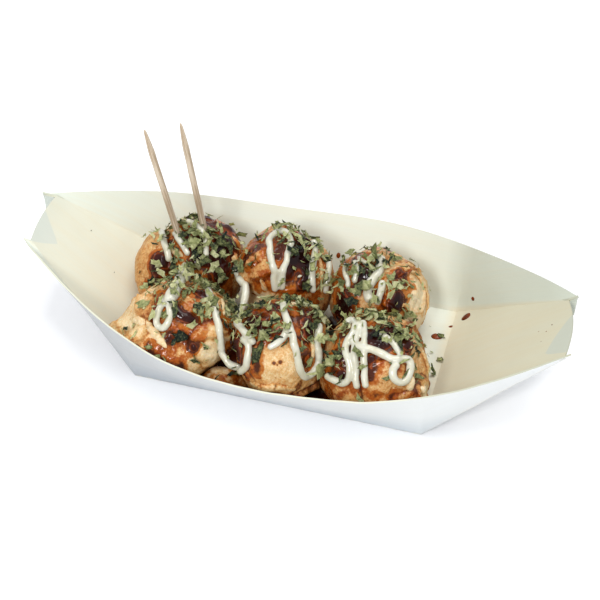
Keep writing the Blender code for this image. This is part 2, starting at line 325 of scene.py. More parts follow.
def add_bump(tree, height, distance, strength):
    """Fine relief, where distance is how far a height of 1 stands out."""
    return add_node(tree, "ShaderNodeBump", {"Height": height, "Distance": distance,
                                             "Strength": strength}).outputs[0]


def add_marks(tree, name):
    """What the mesh's points carry under a name."""
    return add_node(tree, "ShaderNodeAttribute", attribute_name=name).outputs["Fac"]


def add_grain(tree, scale, **settings):
    """Noise drawn out along the sheet, where scale says how often it changes each way."""
    flat = add_node(tree, "ShaderNodeUVMap", uv_map="flat").outputs[0]
    drawn_out = add_node(tree, "ShaderNodeMapping", {"Vector": flat, "Scale": (*scale, 1.0)})
    return add_noise(tree, drawn_out.outputs[0], 1.0, **settings)


def new_finish(name):
    """An empty finish, with its tree, its shader and the place on the object."""
    finish = bpy.data.materials.new(name)
    finish.use_nodes = True
    tree = finish.node_tree
    place = add_node(tree, "ShaderNodeTexCoord").outputs["Object"]
    return finish, tree, tree.nodes["Principled BSDF"], place


def veneer_finish(name, pale, warm, streak, single, painted_shade_along, painted_shade_up):
    """Pale wood: faint streaks along the grain, warmer end panels, greyer where single, and painted
    shade along the boat and up its walls.
    """
    finish, tree, shader, place = new_finish(name)
    broad = add_grain(tree, (14.0, 330.0), detail=5.0, roughness=0.6, distortion=0.3)
    fine = add_grain(tree, (60.0, 2600.0), detail=4.0, roughness=0.7)
    blotch = add_noise(tree, place, 28.0)
    share = add_sum(tree, add_range(tree, broad, 0.36, 0.70, 0.0, 0.14), blotch, 0.14)
    share = add_sum(tree, share, add_marks(tree, "tint"))
    colour = add_mix(tree, share, pale, warm)
    notch = add_range(tree, add_marks(tree, "notch"), -0.006, 0.006, 0.0, 0.75)
    colour = add_mix(tree, notch, colour, single)
    axes = add_node(tree, "ShaderNodeSeparateXYZ", {"Vector": place})
    # Painted shade: the colour is darkened along the boat (X) and up the walls (Z), where less light
    # falls.
    for axis, marks in (("X", painted_shade_along), ("Z", painted_shade_up)):
        station = add_node(tree, "ShaderNodeMapRange", {
            "Value": axes.outputs[axis], "From Min": -BOAT_REACH, "From Max": BOAT_REACH}).outputs[0]
        stops = [((spot + BOAT_REACH) / (2.0 * BOAT_REACH), share) for spot, share in marks]
        colour = add_mix(tree, 1.0, colour, add_ramp(tree, station, stops), "MULTIPLY")
    lines = add_range(tree, fine, 0.50, 0.76, 0.0, 0.16)
    set_inputs(tree, shader, {
        "Base Color": add_mix(tree, lines, colour, streak, "MULTIPLY"),
        "Roughness": add_range(tree, broad, 0.3, 0.7, 0.52, 0.66), "Specular IOR Level": 0.25,
        "Normal": add_bump(tree, add_sum(tree, fine, broad, 0.5), 0.00010, 0.5),
    })
    return finish


def build_boat():
    """The folded sheet, marked with the tint of its end panels and with their notches."""
    mesh = bmesh.new()
    tint = mesh.verts.layers.float.new("tint")
    notch = mesh.verts.layers.float.new("notch")

    def base_at(i, j):
        return Vector((BASE_HALF_LENGTH * (2.0 * i - 1.0), BASE_HALF_WIDTH * (2.0 * j - 1.0), VENEER))

    add_sheet(mesh, 2 * BASE_COLUMNS, ACROSS_ROWS, base_at, lambda i, j: base_at(i, j).xy)
    for end in (-1, 1):
        def panel_at(i, j):
            return panel_point(end, 2.0 * j - 1.0, i)

        def panel_flat(i, j):
            point = panel_at(i, j)
            run = abs(point.x) - BASE_HALF_LENGTH
            return (end * (BASE_HALF_LENGTH + sqrt(run ** 2 + point.z ** 2)), point.y)

        add_sheet(mesh, SLOPE_COLUMNS, ACROSS_ROWS, panel_at, panel_flat)
        for side in (-1, 1):
            start = corner_share(end, side)

            def share_at(i):
                if i <= 0.5:
                    return start * 2.0 * i
                return lerp(start, 1.0, 2.0 * i - 1.0)

            def wall_at(i, j):
                share = share_at(i)
                return foot_point(end, side, share).lerp(rim_point(end, side, share), j)

            def wall_flat(i, j):
                rise = (wall_at(i, j) - foot_point(end, side, share_at(i))).length
                return (wall_at(i, j).x, side * (BASE_HALF_WIDTH + rise))

            add_sheet(mesh, 2 * SLOPE_COLUMNS, WALL_ROWS, wall_at, wall_flat)
    bmesh.ops.remove_doubles(mesh, verts=mesh.verts, dist=SAME_POINT)
    middle = min(mesh.faces, key=lambda face: face.calc_center_median().length)
    face_along(mesh, middle, -UP)
    for vertex in mesh.verts:
        point = vertex.co
        if point.z > STIFF_RISE:
            free = smooth((point.z - STIFF_RISE) / (FREE_RISE - STIFF_RISE))
            wave = sum(share * noise.noise(point / spacing) for spacing, share in HAND_WAVES)
            vertex.co = point + vertex.normal * wave * HAND_WAVE * free
    for vertex in mesh.verts:
        end = 1 if vertex.co.x > 0.0 else -1
        run = abs(vertex.co.x) - BASE_HALF_LENGTH
        climb = vertex.co.z / PANEL_CORNER[end, 1].z
        side = 1 if vertex.co.y > 0.0 else -1
        half = lerp(BASE_HALF_WIDTH, abs(PANEL_CORNER[end, side].y), climb)
        across = vertex.co.y / half
        vertex[notch] = -1.0
        if run < -TINT_FADE or abs(across) > TINT_LIMIT:
            continue
        vertex[tint] = END_TINT[end] * smooth(run / TINT_FADE + 1.0)
        vertex[notch] = climb - fold_top(end, across)
    return finished_form("boat", mesh)


veneer = veneer_finish("veneer", (0.775, 0.815, 0.735), (0.84, 0.725, 0.51), (0.80, 0.76, 0.63),
                       (0.68, 0.71, 0.65), INSIDE_PAINTED_SHADE, PAINTED_SHADE_UP_INSIDE)
cut_rim = veneer_finish("veneer_cut_rim", (0.68, 0.68, 0.56), (0.70, 0.65, 0.47),
                        (0.86, 0.80, 0.68), (0.68, 0.68, 0.56), INSIDE_PAINTED_SHADE, PAINTED_SHADE_UP_INSIDE)
# Painted shade: the outside is the same wood as the inside, made greyer and darker because it faces
# down and away from the lamps.
outside = veneer_finish("veneer_outside", (0.72, 0.744, 0.756), (0.72, 0.70, 0.65),
                        (0.90, 0.88, 0.84), (0.72, 0.744, 0.756), OUTSIDE_PAINTED_SHADE, PAINTED_SHADE_UP_OUTSIDE)
boat_sheet = build_boat()
boat_inside = surface_of(boat_sheet)
boat = add_piece("boat", boat_sheet, outside, cut_rim, veneer)
add_change(boat, "soft_folds", "BEVEL", width=FOLD_RADIUS, segments=3, limit_method="ANGLE",
           angle_limit=radians(24))
add_change(boat, "veneer", "SOLIDIFY", thickness=VENEER, offset=1.0, use_even_offset=True,
           use_quality_normals=True, material_offset_rim=1, material_offset=2)
plain_mesh(boat)
boat.data.shade_smooth()
boat.data.set_sharp_from_angle(angle=CREASE_ANGLE)
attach(boat, "root")
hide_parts("tray")


# --- The folded corners -----------------------------------------------------------------
# At each corner the spare veneer is folded double and lies flat behind the end panel. The
# two folds meet in a point below the panel's rim. At the back the folds are not tight, and
# the cut end of the long wall stands out beyond the panel as an ear.
FOLD_STEPS = 12
PLY = 0.0003                    # the folded corners are pressed thin
PLY_GAP = 0.00005               # and never lie quite tight
FOLD_TUCK = 0.95                # how near to the crease they start
FOLD_FOOT = 0.02                # how far up the panel they start there
FOLD_BLUNT = 0.985              # they stop just short of a sharp point
PLY_SHORTER = 0.012             # each ply is this much shorter than the panel's notch
PLY_LOWER = 0.006               # and this much lower
EAR_FOOT = {-1: Vector((-0.1130, 0.0168, 0.0293)), 1: Vector((0.1037, 0.0136, 0.0295))}
EAR_LONGER = {-1: 0.0008, 1: 0.0}
EAR_LAP = 0.0016                # how far the ear reaches over the crease
EAR_CURL = 0.0008
EAR_STEPS = 6


def build_folded_corner(end, side, ply):
    """One ply behind the panel: from the crease, where it is deep, to the meeting point."""
    mesh = bmesh.new()
    _, _, meet_across, meet_climb = NOTCH[end]
    shrink = 1.0 - PLY_SHORTER * ply

    def spot(i, j):
        reach = (FOLD_TUCK - side * meet_across) * shrink
        across = side * (FOLD_TUCK - i * reach)
        top = min(1.0, fold_top(end, across)) - PLY_LOWER * ply
        return across, lerp(lerp(FOLD_FOOT, meet_climb, i), top, j)

    def point_at(i, j):
        across, climb = spot(min(i, FOLD_BLUNT), j)
        return panel_point(end, across, climb)

    def flat_at(i, j):
        point = point_at(i, j)
        return (point.y + 0.1, abs(point.x) + ply * 0.05)

    add_sheet(mesh, FOLD_STEPS, FOLD_STEPS, point_at, flat_at)
    face_along(mesh, mesh.faces[:][0], Vector((end, 0.0, 0.0)))
    away = VENEER + PLY * (ply - 1) + PLY_GAP * ply
    for vertex in mesh.verts:
        vertex.co += vertex.normal * away
    return finished_form("folded_corner", mesh)


def build_ear(end):
    """The end of the back wall beyond the crease: its rim, its cut edge and its foot."""
    mesh = bmesh.new()
    top = PANEL_CORNER[end, 1]
    low = foot_point(end, 1, lerp(corner_share(end, 1), 1.0, 0.70))
    low += Vector((end * EAR_LAP, 0.0, 0.0))

    def point_at(i, j):
        outer = top.lerp(EAR_TIP[end, 1] + Vector((end * EAR_LONGER[end], 0.0, 0.0)), i)
        inner = low.lerp(EAR_FOOT[end], i)
        curl = sin(pi * j) * i * EAR_CURL
        return inner.lerp(outer, j) + Vector((0.0, curl, -0.0003 * (1.0 - i)))

    def flat_at(i, j):
        point = point_at(i, j)
        return (point.x, BASE_HALF_WIDTH + point.z)

    add_sheet(mesh, EAR_STEPS, EAR_STEPS, point_at, flat_at)
    face_along(mesh, mesh.faces[:][0], Vector((0.0, 1.0, 0.0)))
    return finished_form("ear", mesh)


def finish_ply(name, sheet, thick, face, edge):
    """A flat sheet given its thickness, with finishes for its face and its edge."""
    ply = add_piece(name, sheet, face, edge)
    add_change(ply, "veneer", "SOLIDIFY", thickness=thick, offset=1.0, use_even_offset=True,
               material_offset_rim=1)
    plain_mesh(ply)
    ply.data.shade_smooth()
    ply.data.set_sharp_from_angle(angle=CREASE_ANGLE)
    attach(ply, "root")


END_NAMES = {-1: "left", 1: "right"}
SIDE_NAMES = {-1: "front", 1: "back"}
for end, side in EAR_TIP:
    for ply in (1, 2):
        finish_ply(f"folded_corner_{END_NAMES[end]}_{SIDE_NAMES[side]}_{ply}",
                   build_folded_corner(end, side, ply), PLY, outside, outside)
for end, end_name in END_NAMES.items():
    finish_ply(f"ear_{end_name}_back", build_ear(end), VENEER, veneer, cut_rim)


# --- The balls --------------------------------------------------------------------------
# Six balls of octopus batter, turned with a pick in a dimpled pan. The crust is folded
# over itself and torn here and there: golden where it touched the pan, pale in the folds.
BALL_STEPS = 7                  # subdivisions of the sphere that is laid over each form
SEAM_SOFTNESS = radians(1.4)
RAGGED = radians(9.0)           # how far the torn edges of the crust wander
LUMPS = ((0.0068, 0.00052), (0.0027, 0.00030), (0.0012, 0.00012))   # spacing and height
CREASE_SPACING = 0.0078         # the fine folds where the soft batter was turned
CREASE_DEPTH = 0.00034
CREASE_BREADTH = 0.16
OWN_BROWN = 0.35                # how much a ball's own browning counts for beside its bakes
PAINTED_SHADE_BELOW = 0.30               # painted shade: how much browner the undersides are made
FAR_OUT = 0.06                  # the crust is felt for from this far out
BRIDGED = 0.00012               # dips deeper than this are holes, and are bridged
BRIDGE_PASSES = 24
CLEAR_OF_VENEER = 0.0002
# Seams are rings about an axis: azimuth, elevation, opening in degrees, then in metres the
# step of the crust inside the ring and the lip at its edge.
# Bakes are azimuth, elevation and spread in degrees, then how brown: 0 pale, 1 dark.
BALLS = {
    "front_left": {
        "seams": [(60, 66, 62, 0.0008, 0.0006), (-124, -30, 50, 0.0009, 0.0010),
                  (-152, 34, 30, 0.0022, 0.0012), (-28, 16, 22, 0.0012, 0.0002)],
        "bakes": [(-33, 12, 22, 0.06), (-148, 16, 20, 0.04), (-118, 24, 16, 0.10),
                  (-92, 4, 24, 0.62), (-178, 40, 22, 0.20), (-160, -4, 22, 0.04),
                  (20, 40, 34, 0.34)],
        "brown": 0.46, "seed": 11,
    },
    "front_mid": {
        "seams": [(-72, 28, 32, 0.0012, 0.0005), (-62, -58, 44, 0.0022, 0.0010),
                  (-150, 40, 30, 0.0008, 0.0006)],
        "bakes": [(-78, 26, 26, 0.24), (-62, -26, 24, 0.46), (-20, 20, 26, 0.22),
                  (-81, 30, 1.8, 3.4), (-74, 31, 2.0, 3.4), (-77.5, 28.5, 1.1, 2.4),
                  (-140, 10, 30, 0.60), (-100, 60, 24, 0.55), (20, 60, 40, 0.55)],
        "brown": 0.50, "seed": 12,
    },
    "front_right": {
        "seams": [(8, 12, 42, -0.0014, 0.0014), (-70, 22, 26, 0.0012, 0.0004),
                  (-26, -6, 15, 0.0018, 0.0002), (-46, 2, 12, 0.0010, 0.0002)],
        "bakes": [(-68, 28, 22, 0.42), (-14, 24, 22, 0.44), (-26, -6, 13, 0.00),
                  (-46, 2, 11, 0.10), (-118, -6, 30, 0.60), (-4, 50, 26, 0.44)],
        "brown": 0.50, "seed": 13,
    },
    "back_left": {
        "seams": [(-150, 16, 44, 0.0012, -0.0014), (30, 20, 34, 0.0010, 0.0006)],
        "bakes": [(-150, 16, 44, 0.52), (-128, 0, 20, 0.54), (26, 16, 34, 0.34),
                  (-92, 42, 26, 0.38), (60, 40, 40, 0.44)],
        "brown": 0.50, "seed": 14,
    },
    "back_mid": {
        "seams": [(-168, 50, 46, 0.0030, 0.0012), (-60, 70, 50, 0.0005, 0.0004)],
        "bakes": [(-168, 48, 36, 0.60), (-118, 6, 26, 0.16), (-76, 36, 20, 0.34),
                  (-40, 20, 26, 0.54), (40, 40, 40, 0.50)],
        "brown": 0.48, "seed": 15,
    },
    "back_right": {
        "seams": [(-20, 8, 50, 0.0016, 0.0014), (-14, 30, 26, -0.0008, 0.0005)],
        "bakes": [(-22, 6, 34, -0.04), (10, 0, 34, 0.00), (40, 60, 36, 0.40),
                  (-60, 60, 26, 0.32), (-130, 40, 34, 0.54)],
        "brown": 0.40, "seed": 16,
    },
}


def heading(azimuth, elevation):
    """The unit vector at an azimuth from +X and an elevation, both in degrees."""
    turn = radians(azimuth)
    rise = radians(elevation)
    return Vector((cos(turn) * cos(rise), sin(turn) * cos(rise), sin(rise)))


def soft_form(node_name):
    """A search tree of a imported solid's surface, with its facets rounded off."""
    mesh = bmesh.new()
    mesh.from_mesh(frame["nodes"][node_name].data)
    bmesh.ops.remove_doubles(mesh, verts=mesh.verts, dist=SAME_POINT)
    holder = add_piece("facets", finished_form("facets", mesh))
    add_change(holder, "rounding", "SUBSURF", levels=2, render_levels=2)
    bpy.context.view_layer.update()
    tree = BVHTree.FromObject(holder, bpy.context.evaluated_depsgraph_get())
    bpy.data.objects.remove(holder)
    return tree


def sphere_net(steps):
    """The unit directions and the triangles of an even sphere."""
    mesh = bmesh.new()
    bmesh.ops.create_icosphere(mesh, subdivisions=steps, radius=1.0)
    directions = [vertex.co.normalized() for vertex in mesh.verts]
    triangles = [[vertex.index for vertex in face.verts] for face in mesh.faces]
    mesh.free()
    return directions, triangles


def laid_over(node_name, steps):
    """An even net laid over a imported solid: its middle, directions, points and triangles."""
    tree = soft_form(node_name)
    low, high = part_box(node_name)
    centre = (low + high) / 2.0
    directions, triangles = sphere_net(steps)
    reach = np.zeros(len(directions))
    for index, direction in enumerate(directions):
        hit = tree.ray_cast(centre + direction * FAR_OUT, -direction)[0]
        reach[index] = (hit - centre).length if hit else 0.0
    corners = np.array(triangles)
    for _ in range(BRIDGE_PASSES):
        total = np.zeros(len(reach))
        count = np.zeros(len(reach))
        for here, there in ((0, 1), (1, 2), (2, 0)):
            np.add.at(total, corners[:, here], reach[corners[:, there]])
            np.add.at(count, corners[:, here], 1.0)
        mean = total / count
        sunk = reach < mean - BRIDGED
        if not sunk.any():
            break
        reach[sunk] = mean[sunk]
    points = [centre + direction * float(far) for direction, far in zip(directions, reach)]
    return centre, directions, points, triangles


def seam_height(direction, form):
    """How far the folded crust stands out in one direction, its lip, and the crease below it, where
    the crust is later darkened: partly for sauce gathered there, partly as painted shade under the
    lip.
    """
    height = 0.0
    lip_share = 0.0
    under = 0.0
    wander = noise.noise(direction * 2.2 + Vector((form["seed"], 0.0, 0.0)))
    wander += 0.35 * noise.noise(direction * 9.0)
    for azimuth, elevation, opening, step, lip in form["seams"]:
        away = direction.angle(heading(azimuth, elevation)) - radians(opening)
        edge = (away - RAGGED * wander) / SEAM_SOFTNESS
        if abs(edge) > 9.0:
            height += step * (1.0 if edge < 0.0 else 0.0)
            continue
        height += step / (1.0 + exp(2.0 * edge)) + lip * exp(-(edge / 1.6) ** 2)
        lip_share = max(lip_share, exp(-((edge + 0.8) / 1.6) ** 2))
        under = max(under, exp(-((edge - 2.4) / 1.5) ** 2) * min(1.0, abs(step) / 0.0012))
    return height, lip_share, under


def browning(direction, form):
    """How baked the crust is in one direction, with painted shade that darkens its underside."""
    total = OWN_BROWN
    value = form["brown"] * OWN_BROWN
    for azimuth, elevation, spread, brown in form["bakes"]:
        near = exp(-(direction.angle(heading(azimuth, elevation)) / radians(spread)) ** 2 * 1.6)
        value += brown * near * 2.0
        total += near * 2.0
    return value / total + PAINTED_SHADE_BELOW * max(0.0, -direction.z - 0.15)


def batter_relief(point, shift):
    """Lumps, and creases that cut in where the batter was folded: the relief, then the crease."""
    rough = sum(size * noise.noise(point / spacing + shift) for spacing, size in LUMPS)
    fold = noise.noise(point / CREASE_SPACING + shift * 2.0)
    fold += 0.35 * noise.noise(point / (CREASE_SPACING * 0.4) - shift)
    crease = max(0.0, 1.0 - abs(fold) / CREASE_BREADTH)
    return rough - CREASE_DEPTH * crease ** 2 * 0.7, crease


def crust_surface(name):
    """A ball's crust, finer than its solid: middle, points, triangles, browning with its painted
    shade, and lips.
    """
    form = BALLS[name]
    centre, directions, bare, triangles = laid_over("ball_" + name, BALL_STEPS)
    shift = Vector((form["seed"] * 3.1, 0.0, 0.0))
    points, brown, lips = [], [], []
    for direction, point in zip(directions, bare):
        height, lip, under = seam_height(direction, form)
        rough, crease = batter_relief(point, shift)
        points.append(kept_in_boat(point + direction * (height * 0.8 + rough)))
        # The crease below each lip is made browner: partly sauce gathered there, partly painted
        # shade.
        brown.append(browning(direction, form) - 0.08 * crease + 0.50 * under)
        lips.append(lip)
    return centre, points, triangles, brown, lips


def kept_in_boat(point):
    """The point itself, or just inside the veneer where the crust would go through it."""
    wall, outwards, _, _ = boat_inside.find_nearest(point, 0.003)
    if wall is None:
        return point
    beyond = (point - wall).dot(outwards) + CLEAR_OF_VENEER
    return point - outwards * max(0.0, beyond)


def add_values(mesh, **values):
    """Gives each point of a mesh a value under each name."""
    for label, numbers in values.items():
        layer = mesh.attributes.new(label, "FLOAT", "POINT")
        layer.data.foreach_set("value", np.array(numbers, np.float32))


def mesh_of(name, points, faces, **values):
    """A smooth mesh whose points carry values."""
    mesh = bpy.data.meshes.new(name)
    mesh.from_pydata(points, [], faces)
    add_values(mesh, **values)
    mesh.shade_smooth()
    return mesh


def crust_finish():
    """Batter, pale to golden to brown, mottled and pored, stained and glossy where sauced."""
    finish, tree, shader, place = new_finish("crust")
    # Besides the browning, baked carries painted shade on the undersides and in the creases below the
    # seams' lips.
    baked, lip, glaze = (add_marks(tree, name) for name in ("baked", "lip", "glaze"))
    cloud = add_noise(tree, place, 300.0, detail=5.0, roughness=0.62)
    grain = add_noise(tree, place, 1300.0, detail=4.0, roughness=0.7)
    mottle = add_sum(tree, add_range(tree, cloud, 0.25, 0.75, -0.13, 0.13),
                     add_range(tree, grain, 0.3, 0.7, -0.17, 0.17))
    uneven = add_range(tree, baked, 0.0, 0.4, 0.5, 1.0)     # pale batter is the smoothest
    share = add_sum(tree, add_sum(tree, baked, mottle, uneven), lip, 0.20)
    colour = add_ramp(tree, share, [
        (0.00, (0.78, 0.65, 0.43)), (0.16, (0.70, 0.52, 0.29)), (0.36, (0.61, 0.365, 0.145)),
        (0.56, (0.50, 0.230, 0.066)), (0.78, (0.30, 0.105, 0.025)), (1.0, (0.12, 0.036, 0.010)),
    ])
    pores = add_node(tree, "ShaderNodeTexVoronoi", {"Vector": place, "Scale": 620.0})
    pore = add_range(tree, pores.outputs["Distance"], 0.24, 0.08)
    where = add_range(tree, cloud, 0.50, 0.60)
    pore = add_math(tree, "MULTIPLY", pore, where)
    colour = add_mix(tree, add_math(tree, "MULTIPLY", pore, 0.60), colour, (0.30, 0.11, 0.03))
    stain = add_sum(tree, glaze, add_range(tree, cloud, 0.3, 0.7, -0.5, 0.5), 0.30)
    thin = add_range(tree, stain, 0.10, 0.32, 0.0, 0.95)
    colour = add_mix(tree, thin, colour, (0.61, 0.265, 0.048), "MULTIPLY")
    thick = add_range(tree, stain, 0.44, 0.72, 0.0, 0.95)
    relief = add_sum(tree, add_sum(tree, cloud, grain, 0.5), pore, -0.6)
    strength = add_range(tree, thin, 0.0, 0.95, 0.7, 0.16)
    set_inputs(tree, shader, {
        "Base Color": add_mix(tree, thick, colour, (0.045, 0.008, 0.003)),
        "Roughness": add_mix(tree, thin, (0.52, 0.52, 0.52), (0.10, 0.10, 0.10)),
        "Specular IOR Level": 0.27, "Subsurface Weight": 0.15, "Subsurface Scale": 0.002,
        "Subsurface Radius": (1.0, 0.5, 0.25), "Normal": add_bump(tree, relief, 0.00045, strength),
    })
    return finish


crust = crust_finish()
crusts = {}                     # each ball's piece, with its points and its middle
crust_points = []
crust_triangles = []
for name in BALLS:
    centre, points, triangles, brown, lips = crust_surface(name)
    crust_triangles += [[corner + len(crust_points) for corner in face] for face in triangles]
    crust_points += points
    ball = add_piece("crust_" + name, mesh_of("crust_" + name, points, triangles,
                                              baked=brown, lip=lips), crust)
    crusts[name] = (ball, points, triangles, centre)
    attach(ball, "root")
    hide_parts("ball_" + name)


# --- The folds in the crust -------------------------------------------------------------
# Where soft batter was turned in the pan it lies folded over itself: thick ragged rolls and
# tongues that stand out of the crust and are joined to it along their length.
FOLD_SIDES = 16
FOLD_STEP = 0.0005
FOLD_TIP = 0.06                 # how wide a fold is at its ends, beside its middle
FOLD_RAGGED = ((0.0026, 0.28), (0.0011, 0.12))  # the spacing and the share of its unevenness
ROUTE_STEPS = 24                # points on the curve between two points of a route
# Each fold in millimetres: its glaze, how brown it is, its width, its thickness, how far one
# edge stands up, then its route over the crust.
FOLDS = [
    (0.02, 0.12, 4.0, 1.6, 1.2, [(-56, -34, 29), (-52.5, -35.8, 31), (-49, -37.5, 32),
                                 (-46, -39.5, 32), (-43.5, -41, 31), (-41.5, -42, 29.5),
                                 (-39, -43.2, 27.8)]),
    (0.06, 0.14, 2.4, 1.6, 0.2, [(-26, -18, 33.5), (-24.5, -21.5, 33), (-23, -24.7, 31.5)]),
    (0.05, 0.08, 2.2, 1.8, 0.3, [(-20.3, -18.9, 24.3), (-19.3, -23.3, 25), (-19, -27.5, 24.5)]),
    (0.10, 0.24, 3.6, 2.6, 0.5, [(-7, -44.5, 19.5), (-3, -45.3, 20.5), (0.3, -45.2, 21),
                                 (3.6, -44.7, 21.7), (7, -43.7, 21), (10, -42, 19)]),
    (0.30, 0.42, 5.0, 2.4, -1.6, [(-13, 8, 37), (-15.5, 6, 36), (-17.5, 5, 34.5),
                                  (-19.5, 4.5, 32), (-21, 4, 29.5)]),
    (0.06, 0.20, 3.0, 1.6, 0.2, [(-15.3, 0.5, 31.9), (-14, -1.2, 29), (-13.2, -1.5, 25.8)]),
    (0.10, 0.34, 2.6, 1.2, 0.2, [(3, 16, 33.3), (4.8, 12.7, 30.5), (6, 10, 26.7), (6.7, 8.7, 23)]),
    (0.04, 0.30, 2.0, 1.5, 0.6, [(29.6, 21, 34.6), (33.3, 20.8, 33.6), (37, 18.3, 33.6),
                                 (40.1, 19.3, 30.2), (42.7, 19.3, 27.1), (44.4, 19.3, 23),
                                 (45.5, 17.0, 18.8), (46.1, 12.6, 15.5)]),
    (0.12, 0.34, 1.6, 1.2, 0.2, [(36, 0.5, 26.5), (37.1, 1.7, 27.5), (39, 3.4, 27.6),
                                 (41.3, 4.7, 25), (42.2, 4.8, 20.8)]),
    (0.00, 0.06, 3.6, 2.2, 0.2, [(51.8, -33.5, 29), (51.6, -35.7, 26.3), (51.3, -36.8, 22.6)]),
    (0.00, 0.00, 3.2, 1.8, 0.2, [(54.3, -33.2, 22.5), (56.1, -30.3, 19.5)]),
    (0.02, 0.26, 3.0, 1.4, 0.5, [(47.1, -18.9, 35.1), (50.5, -18, 31), (53.5, -18.6, 27.5),
                                 (56, -20.5, 23.5), (57, -23.5, 20)]),
    (0.06, 0.20, 2.0, 1.2, 0.2, [(12.7, -28.2, 32.7), (13.9, -31.1, 30.6), (14.2, -34, 27.5)]),
    (0.04, 0.14, 2.8, 1.2, 0.3, [(-54.5, 3, 34.1), (-51, 2.6, 33.9), (-47.5, 1.5, 33)]),
    (0.18, 0.34, 3.2, 1.2, 0.3, [(-31, 12.5, 30), (-29.4, 11, 26.8), (-28, 10, 22.5)]),
    (0.16, 0.10, 2.6, 1.0, 0.1, [(1.2, -17.2, 38), (5.2, -18.6, 38.2)]),
    (0.26, 0.16, 2.2, 1.2, 0.5, [(-34, 18.5, 33), (-31.5, 17.5, 30), (-29.7, 17.5, 26.5)]),
]

crust_bed = BVHTree.FromPolygons(crust_points, crust_triangles)


def smooth_route(points, spacing):
    """Evenly spaced points on a smooth curve through a route's points."""
    padded = [points[0] * 2.0 - points[1], *points, points[-1] * 2.0 - points[-2]]
    dense = []
    for a, b, c, d in zip(padded, padded[1:], padded[2:], padded[3:]):
        for step in range(ROUTE_STEPS):
            t = step / ROUTE_STEPS
            dense.append(0.5 * ((2.0 * b) + (c - a) * t + (2.0 * a - 5.0 * b + 4.0 * c - d) * t * t
                                + (3.0 * b - a - 3.0 * c + d) * t ** 3))
    dense.append(points[-1])
    even = [dense[0]]
    for point in dense:
        while (point - even[-1]).length > spacing:
            even.append(even[-1] + (point - even[-1]).normalized() * spacing)
    return even


def build_folds():
    """All the folds as one mesh: flattened rolls that taper and are sunk in the crust."""
    points, faces, brown, lips, glazes = [], [], [], [], []
    for number, (glaze, baked, width, thick, stand, route) in enumerate(FOLDS):
        line = smooth_route([Vector(spot) / 1000.0 for spot in route], FOLD_STEP)
        grounds = [crust_bed.find_nearest(spot)[:2] for spot in line]
        first = len(points)
        for index, (ground, normal) in enumerate(grounds):
            ahead = grounds[min(index + 2, len(line) - 1)][0]
            behind = grounds[max(index - 2, 0)][0]
            across = normal.cross(ahead - behind).normalized()
            along = index / (len(line) - 1)
            taper = (FOLD_TIP + (1.0 - FOLD_TIP) * sin(pi * along) ** 0.5) / 2000.0
            ragged = 1.0
            for spacing, share in FOLD_RAGGED:
                ragged += share * noise.noise(ground / spacing)
            for side in range(FOLD_SIDES):
                angle = tau * side / FOLD_SIDES
                edge = cos(angle)
                spot = ground + across * (width * edge * taper * ragged)
                spot += normal * ((thick * (sin(angle) + 0.3) + stand * edge) * taper)
                rough, _ = batter_relief(spot, Vector((number, 0.0, 0.0)))
                points.append(kept_in_boat(spot + normal * rough * 0.8))
                brown.append(baked + 0.14 * abs(edge) ** 3)
                lips.append(abs(edge) ** 8)
                glazes.append(max(0.0, glaze + 0.5 * glaze * noise.noise(ground / 0.003)))
        last = first + (len(line) - 1) * FOLD_SIDES
        for here in range(first, last, FOLD_SIDES):
            for side in range(FOLD_SIDES):
                after = (side + 1) % FOLD_SIDES
                faces.append((here + side, here + after, here + FOLD_SIDES + after,
                              here + FOLD_SIDES + side))
        faces.append(tuple(range(first, first + FOLD_SIDES))[::-1])
        faces.append(tuple(range(last, last + FOLD_SIDES)))
    mesh = mesh_of("crust_folds", points, faces, baked=brown, lip=lips, glaze=glazes)
    form = bmesh.new()
    form.from_mesh(mesh)
    bmesh.ops.recalc_face_normals(form, faces=form.faces)
    form.to_mesh(mesh)
    form.free()
    return mesh


folds = add_piece("crust_folds", build_folds(), crust)
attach(folds, "root")


# --- The scrap of batter ----------------------------------------------------------------
# A torn-off scrap of the batter, glazed brown with sauce, lies loose on the base in the gap
# between the first two front balls.
SCRAP_STEPS = 6
SCRAP_SEED = 5.0

scrap_points = []
_, directions, bare, triangles = laid_over("batter_scrap", SCRAP_STEPS)
for direction, point in zip(directions, bare):
    rough, _ = batter_relief(point, Vector((SCRAP_SEED, 0.0, 0.0)))
    scrap_points.append(kept_in_boat(point + direction * rough * 1.2))
brown = [0.28 + 0.4 * noise.noise(point / 0.004) for point in scrap_points]
glaze = [0.40 + 0.5 * noise.noise(point / 0.006) for point in scrap_points]
scrap = add_piece("crust_scrap", mesh_of("crust_scrap", scrap_points, triangles,
                                         baked=brown, glaze=glaze), crust)
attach(scrap, "root")
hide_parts("batter_scrap")


# --- The sauce --------------------------------------------------------------------------
# A thick brown sauce, spooned over the balls: nearly black where it is deep, red-brown and
# orange where it is thin, and very glossy. It runs down between them and pools below.
SAUCE_DEEP = 0.0012             # how far the thickest sauce stands out of the crust
SAUCE_SKIN = 0.00035            # how far a pool's hidden underside lies in the crust
